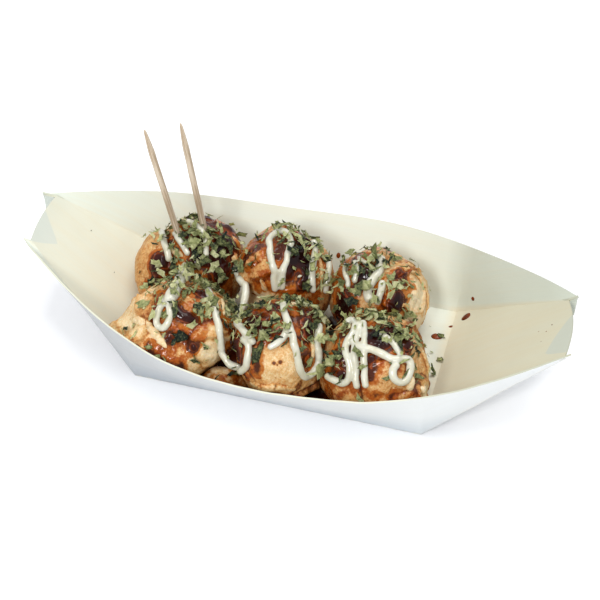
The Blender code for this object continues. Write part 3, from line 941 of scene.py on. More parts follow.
# Pools on each ball in millimetres: a point on the crust, the pool's radius and its depth.
POOLS = {
    "front_left": [
        (-47.3, -25.7, 37, 2.2, 0.8), (-45.7, -29.3, 37.6, 2.0, 0.9), (-45.4, -32.3, 37, 1.7, 0.8),
        (-39.1, -31.8, 38, 2.2, 0.9), (-37.4, -33.4, 37.3, 2.2, 0.9), (-35.9, -34.7, 36.3, 2.0, 0.8),
        (-33.6, -33.3, 36.1, 2.0, 0.8), (-31.9, -34, 35, 2.0, 0.8), (-29.6, -40.2, 27.4, 2.6, 1.1),
        (-31, -38.5, 30.5, 1.8, 0.6), (-38.4, -39.8, 30.6, 2.4, 0.6), (-40, -41.2, 29.5, 2.0, 0.5),
        (-34.2, -21.1, 37.3, 2.4, 0.8), (-31.4, -22.4, 37.1, 2.4, 0.8), (-29.3, -23, 36.6, 2, 0.6),
        (-21, -30, 22, 3.6, 0.9), (-22.5, -27, 30.5, 2.4, 0.4), (-50, -14, 34, 3.0, 0.5),
        (-27.5, -36, 30, 2.2, 0.5), (-33, -45, 21.5, 3.0, 0.4), (-52.5, -31, 34.5, 2.2, 0.7),
        (-50.5, -34.5, 33, 2.0, 0.8), (-46.5, -42.5, 27.5, 1.8, 0.9), (-44, -44, 26, 1.8, 0.9),
    ],
    "front_mid": [
        (-10, -29.5, 37, 4.4, 0.9), (-5, -32.5, 38, 3.6, 0.9), (-4, -21, 39, 3.4, 0.9),
        (-3, -36.5, 36, 3.0, 0.7), (9.5, -24, 35.5, 4.4, 0.6), (11, -27, 33.5, 3.2, 0.9),
        (9.5, -31.5, 33.5, 3.2, 0.6), (11.5, -34.5, 30, 3.4, 0.6), (11.5, -36.5, 26.5, 2.6, 0.9),
        (-3, -42, 30.5, 3.2, 0.8), (-1.5, -43.5, 27.5, 2.8, 0.8), (-3.5, -44.5, 25.5, 2.8, 0.9),
        (9.5, -17, 33.5, 4.4, 0.8), (3.5, -25.5, 38, 3.4, 0.4), (-15.5, -36.5, 29, 3.6, 1.0),
        (-13.5, -40, 25.5, 3.2, 1.0), (-9, -41, 20, 3.0, 0.9),
    ],
    "front_right": [
        (35.5, -25, 37, 4.8, 1.0), (39, -26.5, 37, 3.8, 1.0), (48, -25.5, 35, 3.4, 0.8),
        (36.5, -33.5, 33.5, 2.4, 0.8), (37.5, -36.5, 31, 2.4, 0.6), (38.5, -38.5, 29, 2.2, 0.5),
        (40.5, -40.5, 24, 2.6, 0.6), (46.5, -38, 25, 4.0, 0.6), (45, -39.5, 22.5, 2.8, 0.7),
        (24, -32.5, 31.5, 3.4, 0.9), (23, -35.5, 27.5, 3.6, 0.5), (27, -38, 26.5, 2.6, 0.8),
        (24, -21, 35, 2.8, 0.6), (23, -24.5, 34, 2.8, 0.8), (43.5, -21, 36, 4.2, 0.9),
        (30.5, -32, 35, 3.0, 0.9), (34, -37, 29.5, 1.8, 0.9),
    ],
    "back_left": [
        (-57.5, -0.5, 33, 3.0, 0.9), (-58.5, -3.5, 29.5, 3.2, 1.0), (-54, -2, 31.5, 3.4, 0.8),
        (-55.5, -6, 25, 3.4, 0.9), (-61.5, -5, 22.5, 2.8, 0.3), (-55, 5.5, 35.5, 2.6, 0.8),
        (-49, 21, 37.5, 4.0, 0.9), (-45, 24.5, 35.5, 3.6, 0.9), (-42.5, 15.5, 37, 3.6, 0.9),
        (-38.5, 20.5, 35, 3.2, 0.5), (-35, 23, 32, 4.0, 0.9), (-34, 14, 33.5, 4.4, 0.9),
        (-36.5, 10.5, 34.5, 3.4, 0.4), (-35.5, 8.5, 33, 4.0, 0.9), (-44, 9, 37.5, 3.4, 0.8),
        (-42.5, 4, 35, 4.4, 0.8), (-41, 0.5, 32.5, 3.8, 0.9), (-35.5, 3, 30, 4.0, 0.9),
        (-30.5, 13.5, 29, 3.2, 0.5), (-31, 19, 28, 3.2, 0.5), (-50, 10.5, 38.5, 3.8, 0.6),
        (-32, 7, 27, 3.4, 0.9), (-34, 2, 25, 3.2, 0.8), (-45, -4.5, 27, 3.0, 0.9),
        (-49, 29, 30, 3.4, 0.8), (-52, 30.5, 25, 2.6, 0.7), (-40, 31, 27, 2.8, 0.6),
    ],
    "back_mid": [
        (-19.5, 20.5, 33, 3.2, 1.0), (-17, 10.5, 36, 3.0, 0.9), (-19, 9, 34.5, 4.0, 0.4),
        (-22, 7, 32, 3.2, 0.8), (-11.5, 13, 38.5, 3.6, 0.9), (-10.5, 7, 37, 3.4, 0.8),
        (-5, 12, 39, 4.6, 1.0), (-4.5, 7.5, 38, 3.4, 0.7), (-1, 10.5, 37.5, 4.4, 0.9),
        (-5, 5, 36.5, 3.2, 0.6), (0.5, 8, 35, 3.4, 0.9), (-4, 2.5, 34.5, 2.8, 0.6),
        (-5, 1, 32, 2.8, 0.5), (1, 2, 29.5, 2.8, 0.8), (2, 4.5, 31.5, 2.8, 0.9),
        (-3, 20, 38, 4.4, 1.0), (-17, -0.5, 27.5, 3.4, 0.4), (-16.5, -0.5, 23.5, 3.4, 0.4),
        (-19.5, 1, 21, 2.4, 0.9), (4.5, 14.5, 34, 2.6, 0.3), (-9, 31, 31, 3.6, 0.8),
        (-6, 34, 25, 2.8, 0.7), (-17, 30, 28, 2.8, 0.7), (3, 30, 27, 2.6, 0.6),
    ],
    "back_right": [
        (22.5, 9.5, 34.5, 3.4, 0.8), (23.5, 7, 33, 3.4, 1.0), (25, 10.5, 36, 2.4, 0.9),
        (19.5, 18.5, 33.5, 3.0, 0.9), (24, 16.5, 37, 2.8, 0.4), (27, 13.5, 37, 2.4, 0.7),
        (36.5, 13.5, 36, 2.4, 1.0), (39, 13.5, 34, 3.6, 0.7), (38.5, 11, 33.5, 3.2, 0.45),
        (43, 12.5, 30, 1.8, 0.5), (42, 8, 29.5, 3.0, 0.35), (41.5, 6, 28, 2.2, 0.3),
        (37.5, 2.5, 29.5, 3.8, 0.8), (38.5, 4.5, 30.5, 2.8, 0.7), (37, 1, 27.5, 3.4, 1.0),
        (41.5, 3.5, 27, 1.8, 0.4), (42, 3, 23, 1.8, 0.4), (40.5, 1.5, 21, 1.6, 0.35),
        (37.5, 0.5, 24.5, 1.8, 0.3), (29, 4.5, 30.5, 2.4, 0.8), (18, 3.5, 24.5, 4.4, 0.9),
        (18, 2, 20, 5.0, 0.9), (27, 32, 31, 3.4, 0.8), (29, 35, 26, 2.8, 0.7),
        (20, 31, 28, 2.6, 0.6),
    ],
}
# Thin glaze on each ball: azimuth, elevation and spread in degrees, then how much.
GLAZES = {
    "front_left": [(-84, 20, 30, 0.60), (-60, 55, 40, 0.60), (0, 40, 30, 0.50), (-95, -8, 22, 0.60),
                   (60, 60, 50, 0.45), (-33, 10, 16, -0.80), (-150, 14, 32, -0.80),
                   (-10, -8, 22, 0.50)],
    "front_mid": [(-150, 25, 40, 0.60), (-20, 20, 30, 0.60), (0, 80, 44, 0.55), (90, 40, 50, 0.40),
                  (-78, 22, 19, -0.90), (-60, -30, 26, 0.45), (-150, -20, 30, 0.60)],
    "front_right": [(-110, 40, 40, 0.60), (-60, 75, 46, 0.60), (-42, 4, 12, 0.60),
                    (-140, 0, 34, 0.55), (-68, 22, 14, -0.45), (-10, 14, 22, -0.40),
                    (-80, -30, 30, 0.50), (-26, -6, 11, -0.60)],
    "back_left": [(-90, 30, 34, 0.55), (0, 60, 50, 0.60), (20, 30, 30, 0.50), (-150, 12, 26, -0.70),
                  (95, 42, 40, 0.50), (-45, 5, 34, 0.60),
                  (-128, 0, 20, 0.35), (-70, -5, 34, 0.50)],
    "back_mid": [(95, 46, 40, 0.50), (-160, 46, 36, 0.60), (-70, 40, 44, 0.60), (-20, 30, 30, 0.50),
                 (60, 70, 46, 0.45), (-118, 2, 20, -0.60), (-50, -10, 34, 0.60)],
    "back_right": [(-150, 40, 44, 0.60), (-80, 50, 34, 0.55), (40, 66, 34, 0.35), (105, 46, 34, 0.50),
                   (-20, 0, 30, -0.55), (-110, -5, 34, 0.60)],
}
GLAZE_LEVEL = 0.10              # below this the crust stays bare
GLAZE_SHARE = 0.62              # how much a glaze counts for, beside a pool
POOL_LEVEL = 0.78               # above this the sauce stands proud of the crust
POOL_EDGE = -0.00025            # how far below the crust a pool's rim ends
RUN = Vector((1.0, 1.0, 0.34))  # sauce runs down, so that its ragged edges are drawn out
RUN_RAGGED = ((0.0036, 0.17), (0.0013, 0.07))   # the spacing and the height of the ragged edge


def sauce_field(points, centre, pools, glazes):
    """How much sauce lies over each point, with drips that run down the sides."""
    places = np.array([tuple(point) for point in points])
    field = np.zeros(len(places))
    for x, y, z, radius, deep in pools:
        away = ((places * 1000.0 - (x, y, z)) ** 2).sum(axis=1) / radius ** 2
        field += deep * np.exp(-1.1 * away)
    field /= 1.0 + 0.35 * field
    outward = places - np.array(centre)
    outward /= np.linalg.norm(outward, axis=1)[:, None]
    cover = np.zeros(len(places))
    for azimuth, elevation, spread, amount in glazes:
        angle = np.degrees(np.arccos(np.clip(outward @ np.array(heading(azimuth, elevation)), -1, 1)))
        near = amount * np.exp(-(angle / spread) ** 4)
        if amount > 0.0:
            cover = np.maximum(cover, near)
        else:
            field += 0.55 * near
    field += GLAZE_SHARE * cover
    for index, point in enumerate(points):
        field[index] += sum(share * noise.noise(point * RUN / spacing)
                            for spacing, share in RUN_RAGGED)
    return field


def closed_skin(name, points, outward, triangles, rises, thickness):
    """A thin closed layer over those faces whose rise is above the surface that it is on."""
    kept = [face for face in triangles if max(rises[corner] for corner in face) > 0.0]
    used = sorted({corner for face in kept for corner in face})
    order = {corner: index for index, corner in enumerate(used)}
    top = [kept_in_boat(points[c] + outward[c] * max(rises[c], POOL_EDGE)) for c in used]
    under = [points[c] - outward[c] * thickness for c in used]
    faces = [[order[corner] for corner in face] for face in kept]
    count = len(used)
    edges = dict.fromkeys(edge for face in faces for edge in zip(face, face[1:] + face[:1]))
    sides = [(b, a, a + count, b + count) for a, b in edges if (b, a) not in edges]
    below = [[corner + count for corner in reversed(face)] for face in faces]
    deep = [max(rises[c], 0.0) / SAUCE_DEEP for c in used]
    return mesh_of(name, top + under, faces + below + sides, deep=deep + deep)


def sauce_finish():
    """Glossy, red-brown where thin and nearly black where deep."""
    finish, tree, shader, place = new_finish("sauce")
    swirl = add_range(tree, add_noise(tree, place, 240.0), 0.3, 0.7, -0.5, 0.5)
    depth = add_sum(tree, add_marks(tree, "deep"), swirl, 0.22)
    ripple = add_noise(tree, place, 420.0, detail=2.0)
    set_inputs(tree, shader, {
        "Base Color": add_ramp(tree, depth, [(0.02, (0.22, 0.042, 0.006)),
                                             (0.30, (0.045, 0.006, 0.002)),
                                             (0.66, (0.010, 0.002, 0.002))]),
        "Roughness": 0.08, "Specular IOR Level": 0.23,
        "Normal": add_bump(tree, ripple, 0.0003, 0.4),
    })
    return finish


sauce = sauce_finish()
for name, pools in POOLS.items():
    ball, points, triangles, centre = crusts[name]
    field = sauce_field(points, centre, pools, GLAZES[name])
    add_values(ball.data, glaze=np.clip(field - GLAZE_LEVEL, 0.0, 1.2) * 1.2)
    above = field - POOL_LEVEL
    rises = np.where(above > 0.0, SAUCE_DEEP * above / (np.abs(above) + 0.28), above * SAUCE_DEEP)
    outward = [(point - centre).normalized() for point in points]
    skin = closed_skin("sauce_" + name, points, outward, triangles, rises.tolist(), SAUCE_SKIN)
    layer = add_piece("sauce_" + name, skin, sauce)
    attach(layer, "root")

# Sauce that has run off the balls has pooled on the base between them, and hides it. The dark pool is
# partly that sauce and partly a dark sheet that stands in for the shade in the gaps between the
# balls.
PUDDLE_ROUTE = [(-34, 2), (-27, 3), (-24, -6), (-21, -18), (-19, -31), (-8, -6), (4, -5),
                (12, -2), (14, -14), (15, -27), (12, 12), (22, -4), (31, -3), (-10, -37)]
PUDDLE_RADIUS = 7.5
PUDDLE_CORNER = Vector((-0.046, -0.036, VENEER - 0.0002))
PUDDLE_CELLS = (80, 60)
PUDDLE_CELL = 0.0011
PUDDLE_SQUEEZE = 0.85           # its cells are narrower across the boat
PUDDLE_HEIGHT = 0.0016
PUDDLE_SKIN = 0.0003
PUDDLE_RAGGED = 0.25            # how uneven its rim is
PUDDLE_MARGIN = 0.0005          # it ends this far from the folds at the foot of the walls
PUDDLE_DEEP = 0.3               # it is shallow enough to look brown


def build_puddle():
    """A flat pool about the places that it has run to, with a rounded, uneven rim."""
    mesh = bmesh.new()
    columns, rows = PUDDLE_CELLS
    corners = {}
    rises = {}
    for i in range(columns + 1):
        for j in range(rows + 1):
            across = j * PUDDLE_CELL * PUDDLE_SQUEEZE
            spot = PUDDLE_CORNER + Vector((i * PUDDLE_CELL, across, 0.0))
            near = min((spot.xy * 1000.0 - Vector(place)).length for place in PUDDLE_ROUTE)
            rise = 1.0 - near / PUDDLE_RADIUS + PUDDLE_RAGGED * noise.noise(spot / 0.004)
            if abs(spot.y) > BASE_HALF_WIDTH - PUDDLE_MARGIN:
                rise = 0.0
            rises[i, j] = rise
            lift = PUDDLE_HEIGHT * sqrt(max(rise, 0.0)) + 0.0002
            corners[i, j] = mesh.verts.new(spot + Vector((0.0, 0.0, lift)))
    for i in range(columns):
        for j in range(rows):
            square = [(i, j), (i + 1, j), (i + 1, j + 1), (i, j + 1)]
            if all(rises[key] > 0.0 for key in square):
                mesh.faces.new([corners[key] for key in square])
    bmesh.ops.delete(mesh, geom=[v for v in mesh.verts if not v.link_faces], context="VERTS")
    bmesh.ops.solidify(mesh, geom=mesh.faces[:], thickness=PUDDLE_SKIN)
    bmesh.ops.recalc_face_normals(mesh, faces=mesh.faces)
    form = finished_form("sauce_puddle", mesh)
    add_values(form, deep=[PUDDLE_DEEP] * len(form.vertices))
    form.shade_smooth()
    return form


puddle = add_piece("sauce_puddle", build_puddle(), sauce)
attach(puddle, "root")


# --- The mayonnaise ---------------------------------------------------------------------
# Cream mayonnaise squeezed from a bottle in thin strands that loop over the balls. Where
# strands touch they run together, and their ends are round.
STRAND_RADIUS = 0.00128
STRAND_STEP = 0.0007
STRAND_SINK = 0.62              # how far out of the surface below a strand's middle lies
HANGS_FREE = 1.9                # radii off the surface from which a strand hangs free
FUSE_CELL = 0.00034
# Routes in millimetres: the girth first, then points that the strand's middle passes.
STRANDS = [
    # A ring on the front left ball, from a wide double strand that starts on the ball behind.
    (1.05, [(-46, -1, 33), (-46.5, -5, 29.5), (-44, -13, 34), (-42.5, -20.5, 38.5),
            (-42.5, -26.5, 39.5), (-42, -30.5, 39.5), (-40.5, -33.5, 38.5), (-39.5, -36.5, 37),
            (-40, -38.5, 35.5), (-41.5, -39.5, 34), (-43.5, -39, 34), (-44.5, -37.5, 36),
            (-44.5, -34, 37.5), (-43.5, -31, 39), (-43, -27, 39.5), (-43, -22, 38.5)]),
    (1.85, [(-44.5, -2.5, 32), (-44, -10, 34), (-42, -19, 38), (-41.5, -25, 39.5),
            (-41.5, -29, 39.5), (-41, -32, 39)]),
    # From the front left ball down over the scrap, and up on to the middle ball.
    (1.10, [(-31.5, -16, 37), (-30.5, -19.5, 37), (-28, -23, 37), (-26, -25, 35.5),
            (-25, -28.5, 34), (-23, -31.5, 32), (-21.5, -34, 28.5), (-20, -36, 25),
            (-17.5, -38.5, 22.5), (-15.5, -39, 21), (-13, -39.5, 20.5), (-10.5, -40.5, 21.5),
            (-9.5, -42.5, 24), (-8, -42, 27), (-8, -40, 30), (-8.5, -38, 32.5),
            (-10, -36.5, 33), (-13, -35, 32)]),
    # Hanging in the gap between the two rows, then down the left of the middle ball.
    (1.15, [(-28.5, 16, 27), (-27, 10.5, 26), (-24.5, 5.5, 27), (-22, -1, 28), (-20.5, -4.5, 27),
            (-20, -8, 25.5), (-19.5, -13, 24.5), (-17.5, -19, 27), (-15, -26, 30.5),
            (-13, -31.5, 34), (-10, -35, 34.5), (-7.5, -37, 34.5), (-5, -38.5, 34)]),
    # The long strand of the front middle ball, which turns up again at its right.
    (1.15, [(-1, -19.5, 39.5), (1, -24.5, 40), (3.5, -28.5, 39), (6, -32.5, 37),
            (7.5, -35.5, 35), (9, -37.5, 32.5), (10, -39, 29), (11.5, -40, 26),
            (13, -39, 23), (15, -37.5, 22.5), (16, -35.5, 23.5), (16, -32.5, 25),
            (15.5, -31, 28), (15, -29, 31), (14.5, -25.5, 33), (13.5, -20.5, 34)]),
    (1.05, [(3, -27, 39), (3.5, -30, 38.5), (4, -34, 37.5), (3, -36.5, 36.5),
            (1, -38.5, 35.5), (-1, -39.5, 34.5)]),
    # Strands heaped on the front right ball: two straight drops, a hook and a curl.
    (1.10, [(23.5, -20.5, 36), (24.5, -18, 36), (27, -20.5, 37.5), (27.5, -24.5, 36.5),
            (26.5, -27.5, 35.5), (26, -31, 34), (27, -33.5, 33), (28.5, -35, 31.5),
            (29.5, -37, 29), (29.5, -39, 27), (28.5, -40, 25), (25.5, -40, 24.5),
            (22.5, -38, 24), (20, -36, 23)]),
    (1.05, [(27.5, -18, 37), (28.5, -22, 37.5), (29, -25.5, 37), (29.5, -29.5, 36),
            (30, -33.5, 34), (31.5, -36.5, 30.5), (32, -39.5, 27.5), (33.5, -41.5, 24.5)]),
    (1.00, [(29.5, -19, 37.5), (31, -23, 37.5), (32, -26.5, 37.5), (33, -31.5, 36.5),
            (34, -35, 33), (35.5, -39, 29), (37, -41.5, 25.5)]),
    (1.15, [(28, -28, 35.5), (30, -30.5, 36), (32.5, -31.5, 36), (35, -31.5, 36.5),
            (39, -32, 36), (44, -33, 35), (46.5, -32, 34.5), (49.5, -30.5, 34),
            (50.5, -31.5, 32.5), (50.5, -34.5, 30), (49, -37, 28.5), (46, -38, 30),
            (45, -36.5, 32), (45.5, -34.5, 33.5), (47, -33, 33.5)]),
    (1.00, [(37.5, -23.5, 38), (39, -25.5, 38), (42, -26.5, 37.5), (45.5, -29.5, 36),
            (47, -30.5, 35)]),
    # Short strands on the picked ball.
    (1.05, [(-60, 10.5, 35.5), (-59, 8.5, 36.5), (-56, 3, 36.5), (-54, 0.5, 34),
            (-52.5, -2, 32)]),
    (0.95, [(-55, 10, 37.5), (-53, 9, 37), (-50, 5, 37.5), (-47.5, 3, 36), (-45, 1, 34.5)]),
    (1.00, [(-51.5, 16, 39), (-48, 14.5, 39.5), (-44, 12.5, 39.5), (-41.5, 10, 38),
            (-40, 7, 36.5), (-39.5, 4.5, 35.5), (-38.5, 2.5, 33.5)]),
    # A long narrow loop and two drops on the back middle ball.
    (1.10, [(-9, -2.5, 28), (-10, -1, 33), (-11, 2, 36), (-13, 6.5, 37.5), (-14.5, 10.5, 39),
            (-14, 14.5, 38.5), (-12, 16.5, 38.5), (-10, 16.5, 39.5), (-7.5, 14.5, 40),
            (-7.5, 11, 39.5), (-8, 7, 38.5), (-7.5, 2.5, 36.5), (-7, -0.5, 32),
            (-6.5, -2, 28)]),
    (1.10, [(-1, 20.5, 37), (1, 18.5, 36), (2, 14.5, 35.5), (2.5, 9.5, 34), (3, 6, 31),
            (4, 4, 28.5), (4.5, 3.5, 25)]),
    (1.00, [(5, 20.5, 31), (6.5, 17.5, 30.5), (7.5, 14, 28), (8, 11, 25), (8, 8.5, 20.5)]),
    (1.20, [(-1.5, 4, 33), (-0.5, 3, 31.5)]),
    # Strands and a wide double one on the back right ball.
    (0.90, [(14.5, 16, 32.5), (15, 11.5, 32.5), (17, 7.5, 32), (18, 4.5, 30)]),
    (0.95, [(18, 14.5, 35.5), (20.5, 9.5, 36), (20, 7, 33.5), (20, 5.5, 32)]),
    (0.70, [(18.5, 17, 36), (21.5, 13.5, 37.5), (24.5, 12, 38)]),
    (1.45, [(27.5, 18, 37), (28.5, 14, 37), (28.5, 9.5, 36), (27, 6.5, 34.5),
            (26, 4.5, 32), (26.5, 2.5, 30), (28.5, 0.5, 29)]),
    (1.15, [(31, 7, 35.5), (31.5, 4, 34), (31, 0.5, 32), (30.5, -1, 29)]),
]


def draped(points, bed, radius):
    """Lays a strand on what is below it. Where it hangs between two balls it stays free."""
    laid = []
    for point in points:
        ground, normal, _, gap = bed.find_nearest(point)
        side = 1.0 if (point - ground).dot(normal) > 0.0 else -1.0
        if gap * side < radius * HANGS_FREE:
            outward = (point - ground).normalized() * side if gap > SAME_POINT else normal
            point = ground + outward * (radius * STRAND_SINK)
        laid.append(point)
    for _ in range(3):
        between = [(a + b * 2.0 + c) / 4.0 for a, b, c in zip(laid, laid[1:], laid[2:])]
        laid = [laid[0], *between, laid[-1]]
    return laid


def new_tree(name, **inputs):
    """A tree of geometry nodes with named inputs: the tree, its input node and their sockets."""
    tree = bpy.data.node_groups.new(name, "GeometryNodeTree")
    tree.is_modifier = True
    sockets = {label: tree.interface.new_socket(label, in_out="INPUT", socket_type=kind).identifier
               for label, kind in {"Geometry": "NodeSocketGeometry", **inputs}.items()}
    tree.interface.new_socket("Geometry", in_out="OUTPUT", socket_type="NodeSocketGeometry")
    return tree, add_node(tree, "NodeGroupInput"), sockets


def point_value(tree, name, kind):
    """What the points carry under a name, for geometry nodes."""
    return add_node(tree, "GeometryNodeInputNamedAttribute", {"Name": name},
                    data_type=kind).outputs[0]


def end_tree(tree, made, finish):
    """Makes what the tree has made real, gives it its finish and hands it on."""
    real = add_node(tree, "GeometryNodeRealizeInstances", {"Geometry": made.outputs[0]})
    dressed = add_node(tree, "GeometryNodeSetMaterial", {"Geometry": real.outputs[0],
                                                         "Material": finish})
    add_node(tree, "NodeGroupOutput", {0: dressed.outputs[0]})


def strand_tree(finish):
    """Geometry nodes that give each route a round, slightly uneven tube with round ends."""
    tree, given, names = new_tree("strands", Radius="NodeSocketFloat",
                                  Unevenness="NodeSocketFloat", Sides="NodeSocketInt")
    radius = given.outputs["Radius"]
    curves = add_node(tree, "GeometryNodeMeshToCurve", {"Mesh": given.outputs["Geometry"]})
    place = add_node(tree, "GeometryNodeInputPosition").outputs[0]
    ripple = add_noise(tree, place, 260.0, detail=1.0)
    swell = add_node(tree, "ShaderNodeMapRange", {"Value": ripple, "From Min": 0.25,
                                                  "From Max": 0.75, "To Min": -1.0, "To Max": 1.0})
    uneven = add_math(tree, "MULTIPLY_ADD", swell.outputs[0], given.outputs["Unevenness"], 1.0)
    so_far = add_node(tree, "GeometryNodeSplineParameter").outputs["Length"]
    whole = add_node(tree, "GeometryNodeSplineLength").outputs["Length"]
    near_end = add_math(tree, "MINIMUM", so_far, add_math(tree, "SUBTRACT", whole, so_far))
    inside = add_math(tree, "SUBTRACT", 1.0, add_math(tree, "DIVIDE", near_end, radius), clamp=True)
    left = add_math(tree, "SUBTRACT", 1.02, add_math(tree, "POWER", inside, 2.0), clamp=True)
    size = add_math(tree, "MULTIPLY", radius, point_value(tree, "girth", "FLOAT"))
    size = add_math(tree, "MULTIPLY", size, uneven)
    size = add_math(tree, "MULTIPLY", size, add_math(tree, "SQRT", left))
    ring = add_node(tree, "GeometryNodeCurvePrimitiveCircle", {
        "Resolution": given.outputs["Sides"], "Radius": 1.0})
    tube = add_node(tree, "GeometryNodeCurveToMesh", {
        "Curve": curves.outputs[0], "Profile Curve": ring.outputs[0], "Fill Caps": True,
        "Scale": size})
    end_tree(tree, tube, finish)
    return tree, names


def mayonnaise_finish():
    """Cream, smooth and satin, a little yellower here and there."""
    finish, tree, shader, place = new_finish("mayonnaise")
    cloud = add_noise(tree, place, 300.0, detail=2.0)
    set_inputs(tree, shader, {
        "Base Color": add_mix(tree, add_range(tree, cloud, 0.35, 0.65), (0.60, 0.59, 0.49),
                              (0.545, 0.525, 0.405)),
        "Roughness": 0.22, "Specular IOR Level": 0.5, "Coat Weight": 0.5, "Coat Roughness": 0.08,
        "Subsurface Weight": 0.25, "Subsurface Scale": 0.0015,
        "Subsurface Radius": (1.0, 0.8, 0.5), "Normal": add_bump(tree, cloud, 0.0002, 0.25),
    })
    return finish


mayonnaise = mayonnaise_finish()
route_points, route_edges, route_girths = [], [], []
for girth, route in STRANDS:
    radius = STRAND_RADIUS * girth
    line = smooth_route([Vector(spot) / 1000.0 for spot in route], STRAND_STEP)
    line = draped(line, crust_bed, radius)
    start = len(route_points)
    route_points += line
    route_edges += [(start + index, start + index + 1) for index in range(len(line) - 1)]
    route_girths += [girth] * len(line)
routes = bpy.data.meshes.new("mayonnaise")
routes.from_pydata(route_points, route_edges, [])
add_values(routes, girth=route_girths)
strands = add_piece("mayonnaise", routes)
squeeze = strands.modifiers.new("strands", "NODES")
squeeze.node_group, sockets = strand_tree(mayonnaise)
squeeze[sockets["Radius"]] = STRAND_RADIUS
squeeze[sockets["Unevenness"]] = 0.12
squeeze[sockets["Sides"]] = 14
add_change(strands, "fuse", "REMESH", mode="VOXEL", voxel_size=FUSE_CELL)
add_change(strands, "even_out", "SMOOTH", factor=0.5, iterations=4)
plain_mesh(strands)
strands.data.materials.clear()
strands.data.materials.append(mayonnaise)
strands.data.shade_smooth()
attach(strands, "root")


# --- The green laver --------------------------------------------------------------------
# Dried green leaf, crumbled by hand and sprinkled from above: curled flakes 1 to 8 mm long,
# pale olive to nearly black, thickest on top of the balls and in the hollows between them.
FLAKE_SHEET = 0.00012           # the thickness meant for a flake, which it doesn't get yet
FLAKE_USUAL = 0.0035            # the length at which it would be that thick
FLAKE_SHAPES = 14
FLAKE_CORNERS = 9
FLAKE_LENGTHS = (0.0022, 0.0076)
FLAKE_TRIES = 4500
SPRINKLED_X = (-72, 58)         # the field that they are sprinkled over, in millimetres
SPRINKLED_Y = (-46, 38)
DROPPED_FROM = 60.0             # the height that they fall from, in millimetres
LOWEST_FLAKE = 0.010            # deeper in the gaps than this there are none
STEEPEST = 0.08                 # nor where the surface looks up less than this
STICKING = 0.40                 # the sauce holds flakes on the steep sides too
UNEVEN_LIE = 0.45               # in radians, how far a flake tilts each way as a rule
PILE = 0.0010                   # how high flakes lie on each other
SET_OFF = 0.0003                # how far the lowest ones are off the crust
# Thick drifts in millimetres: the middle in plan, the radius, and how thick.
DRIFTS = [
    (-53, 8, 7, 0.9), (-47, 10, 9, 1.0), (-41, 8, 9, 1.0), (-46, 2, 8, 0.9), (-38, 3, 7, 0.8),
    (-35, 9, 6, 0.7), (-52, -8, 6, 0.8), (-45, -12, 9, 1.0), (-37, -14, 9, 1.0),
    (-31, -18, 8, 1.0), (-29, -26, 6, 0.8), (-40, -33, 5, 0.6), (-37, -24, 7, 0.8),
    (-12, 20, 6, 0.8), (-5, 14, 6, 0.8), (1, 16, 6, 0.8), (5, 9, 5, 0.8), (-20, 12, 4, 0.6),
    (-11, -22, 8, 1.0), (-14, -29, 6, 0.9), (-5, -26, 6, 0.9), (-3, -33, 6, 0.8),
    (4, -17, 8, 1.0), (9, -19, 7, 1.0), (12, -26, 5, 0.8), (8, -12, 5, 0.8), (-14, -16, 5, 0.8),
    (20, 10, 6, 0.9), (24, 14, 6, 0.9), (29, 8, 7, 0.8), (22, 3, 7, 0.9), (33, 4, 6, 0.8),
    (30, -2, 6, 0.9), (-33, -3, 6, 0.9), (-30, 4, 5, 0.6), (-26, -9, 5, 0.7),
    (-23, -14, 5, 0.6), (-22, -22, 4, 0.6), (30, -16, 7, 0.9), (37, -18, 8, 1.0),
    (43, -20, 7, 1.0), (48, -23, 5, 0.9), (24, -24, 5, 0.8), (22, -33, 5, 0.7),
    (41, 6, 4, 0.6), (38, -8, 5, 0.8),
]
THIN_COVER = 0.10               # how thick it is between the drifts
# Spots that no flake fell on, in millimetres: the middle in plan and the radius.
BARE = [(-66, 4, 9), (-62, -28, 12), (50, 14, 8), (-33, -44, 6), (2, -44, 7), (52, -36, 4),
        (-72, 34, 14), (-31, 38, 6), (9, 40, 7), (21.5, 2.5, 6), (36, 2, 4), (-5, -41, 5),
        (40, -39, 4)]


def flake_form(name, seed, finish):
    """A ragged, curled flake one unit long, its sheet doubled back to back."""
    pick = random.Random(seed)
    width = pick.choice((0.22, 0.30, 0.42, 0.55, 0.62, 0.80))
    bend = pick.choice((-0.5, 0.3, 0.8, 1.3, 2.0, 2.8))
    twist = pick.uniform(-0.6, 0.6)
    outline = []
    for corner in range(FLAKE_CORNERS):
        angle = tau * (corner + pick.uniform(-0.3, 0.3)) / FLAKE_CORNERS
        reach = 0.5 * (pick.uniform(0.42, 0.80) if corner % 2 else pick.uniform(0.85, 1.0))
        outline.append((reach * cos(angle), reach * sin(angle) * width))
    mesh = bmesh.new()

    def corner_at(x, y):
        turn = bend * x
        rise = (1.0 - cos(turn)) / bend + twist * x * y + pick.uniform(-0.02, 0.02)
        return mesh.verts.new((sin(turn) / bend, y, rise))

    middle = corner_at(0.0, 0.0)
    inner = [corner_at(x * 0.55, y * 0.55) for x, y in outline]
    outer = [corner_at(x, y) for x, y in outline]
    for corner in range(FLAKE_CORNERS):
        after = (corner + 1) % FLAKE_CORNERS
        mesh.faces.new((middle, inner[corner], inner[after]))
        mesh.faces.new((inner[corner], outer[corner], outer[after], inner[after]))
    # Known fault: the faces have no normals yet here, so that the sheet is doubled but not
    # moved apart. Calling mesh.normal_update() first gives such a sheet its thickness.
    bmesh.ops.solidify(mesh, geom=mesh.faces[:], thickness=FLAKE_SHEET / FLAKE_USUAL)
    bmesh.ops.recalc_face_normals(mesh, faces=mesh.faces)
    sheet = finished_form(name, mesh)
    sheet.shade_smooth()
    sheet.materials.append(finish)
    return bpy.data.objects.new(name, sheet)


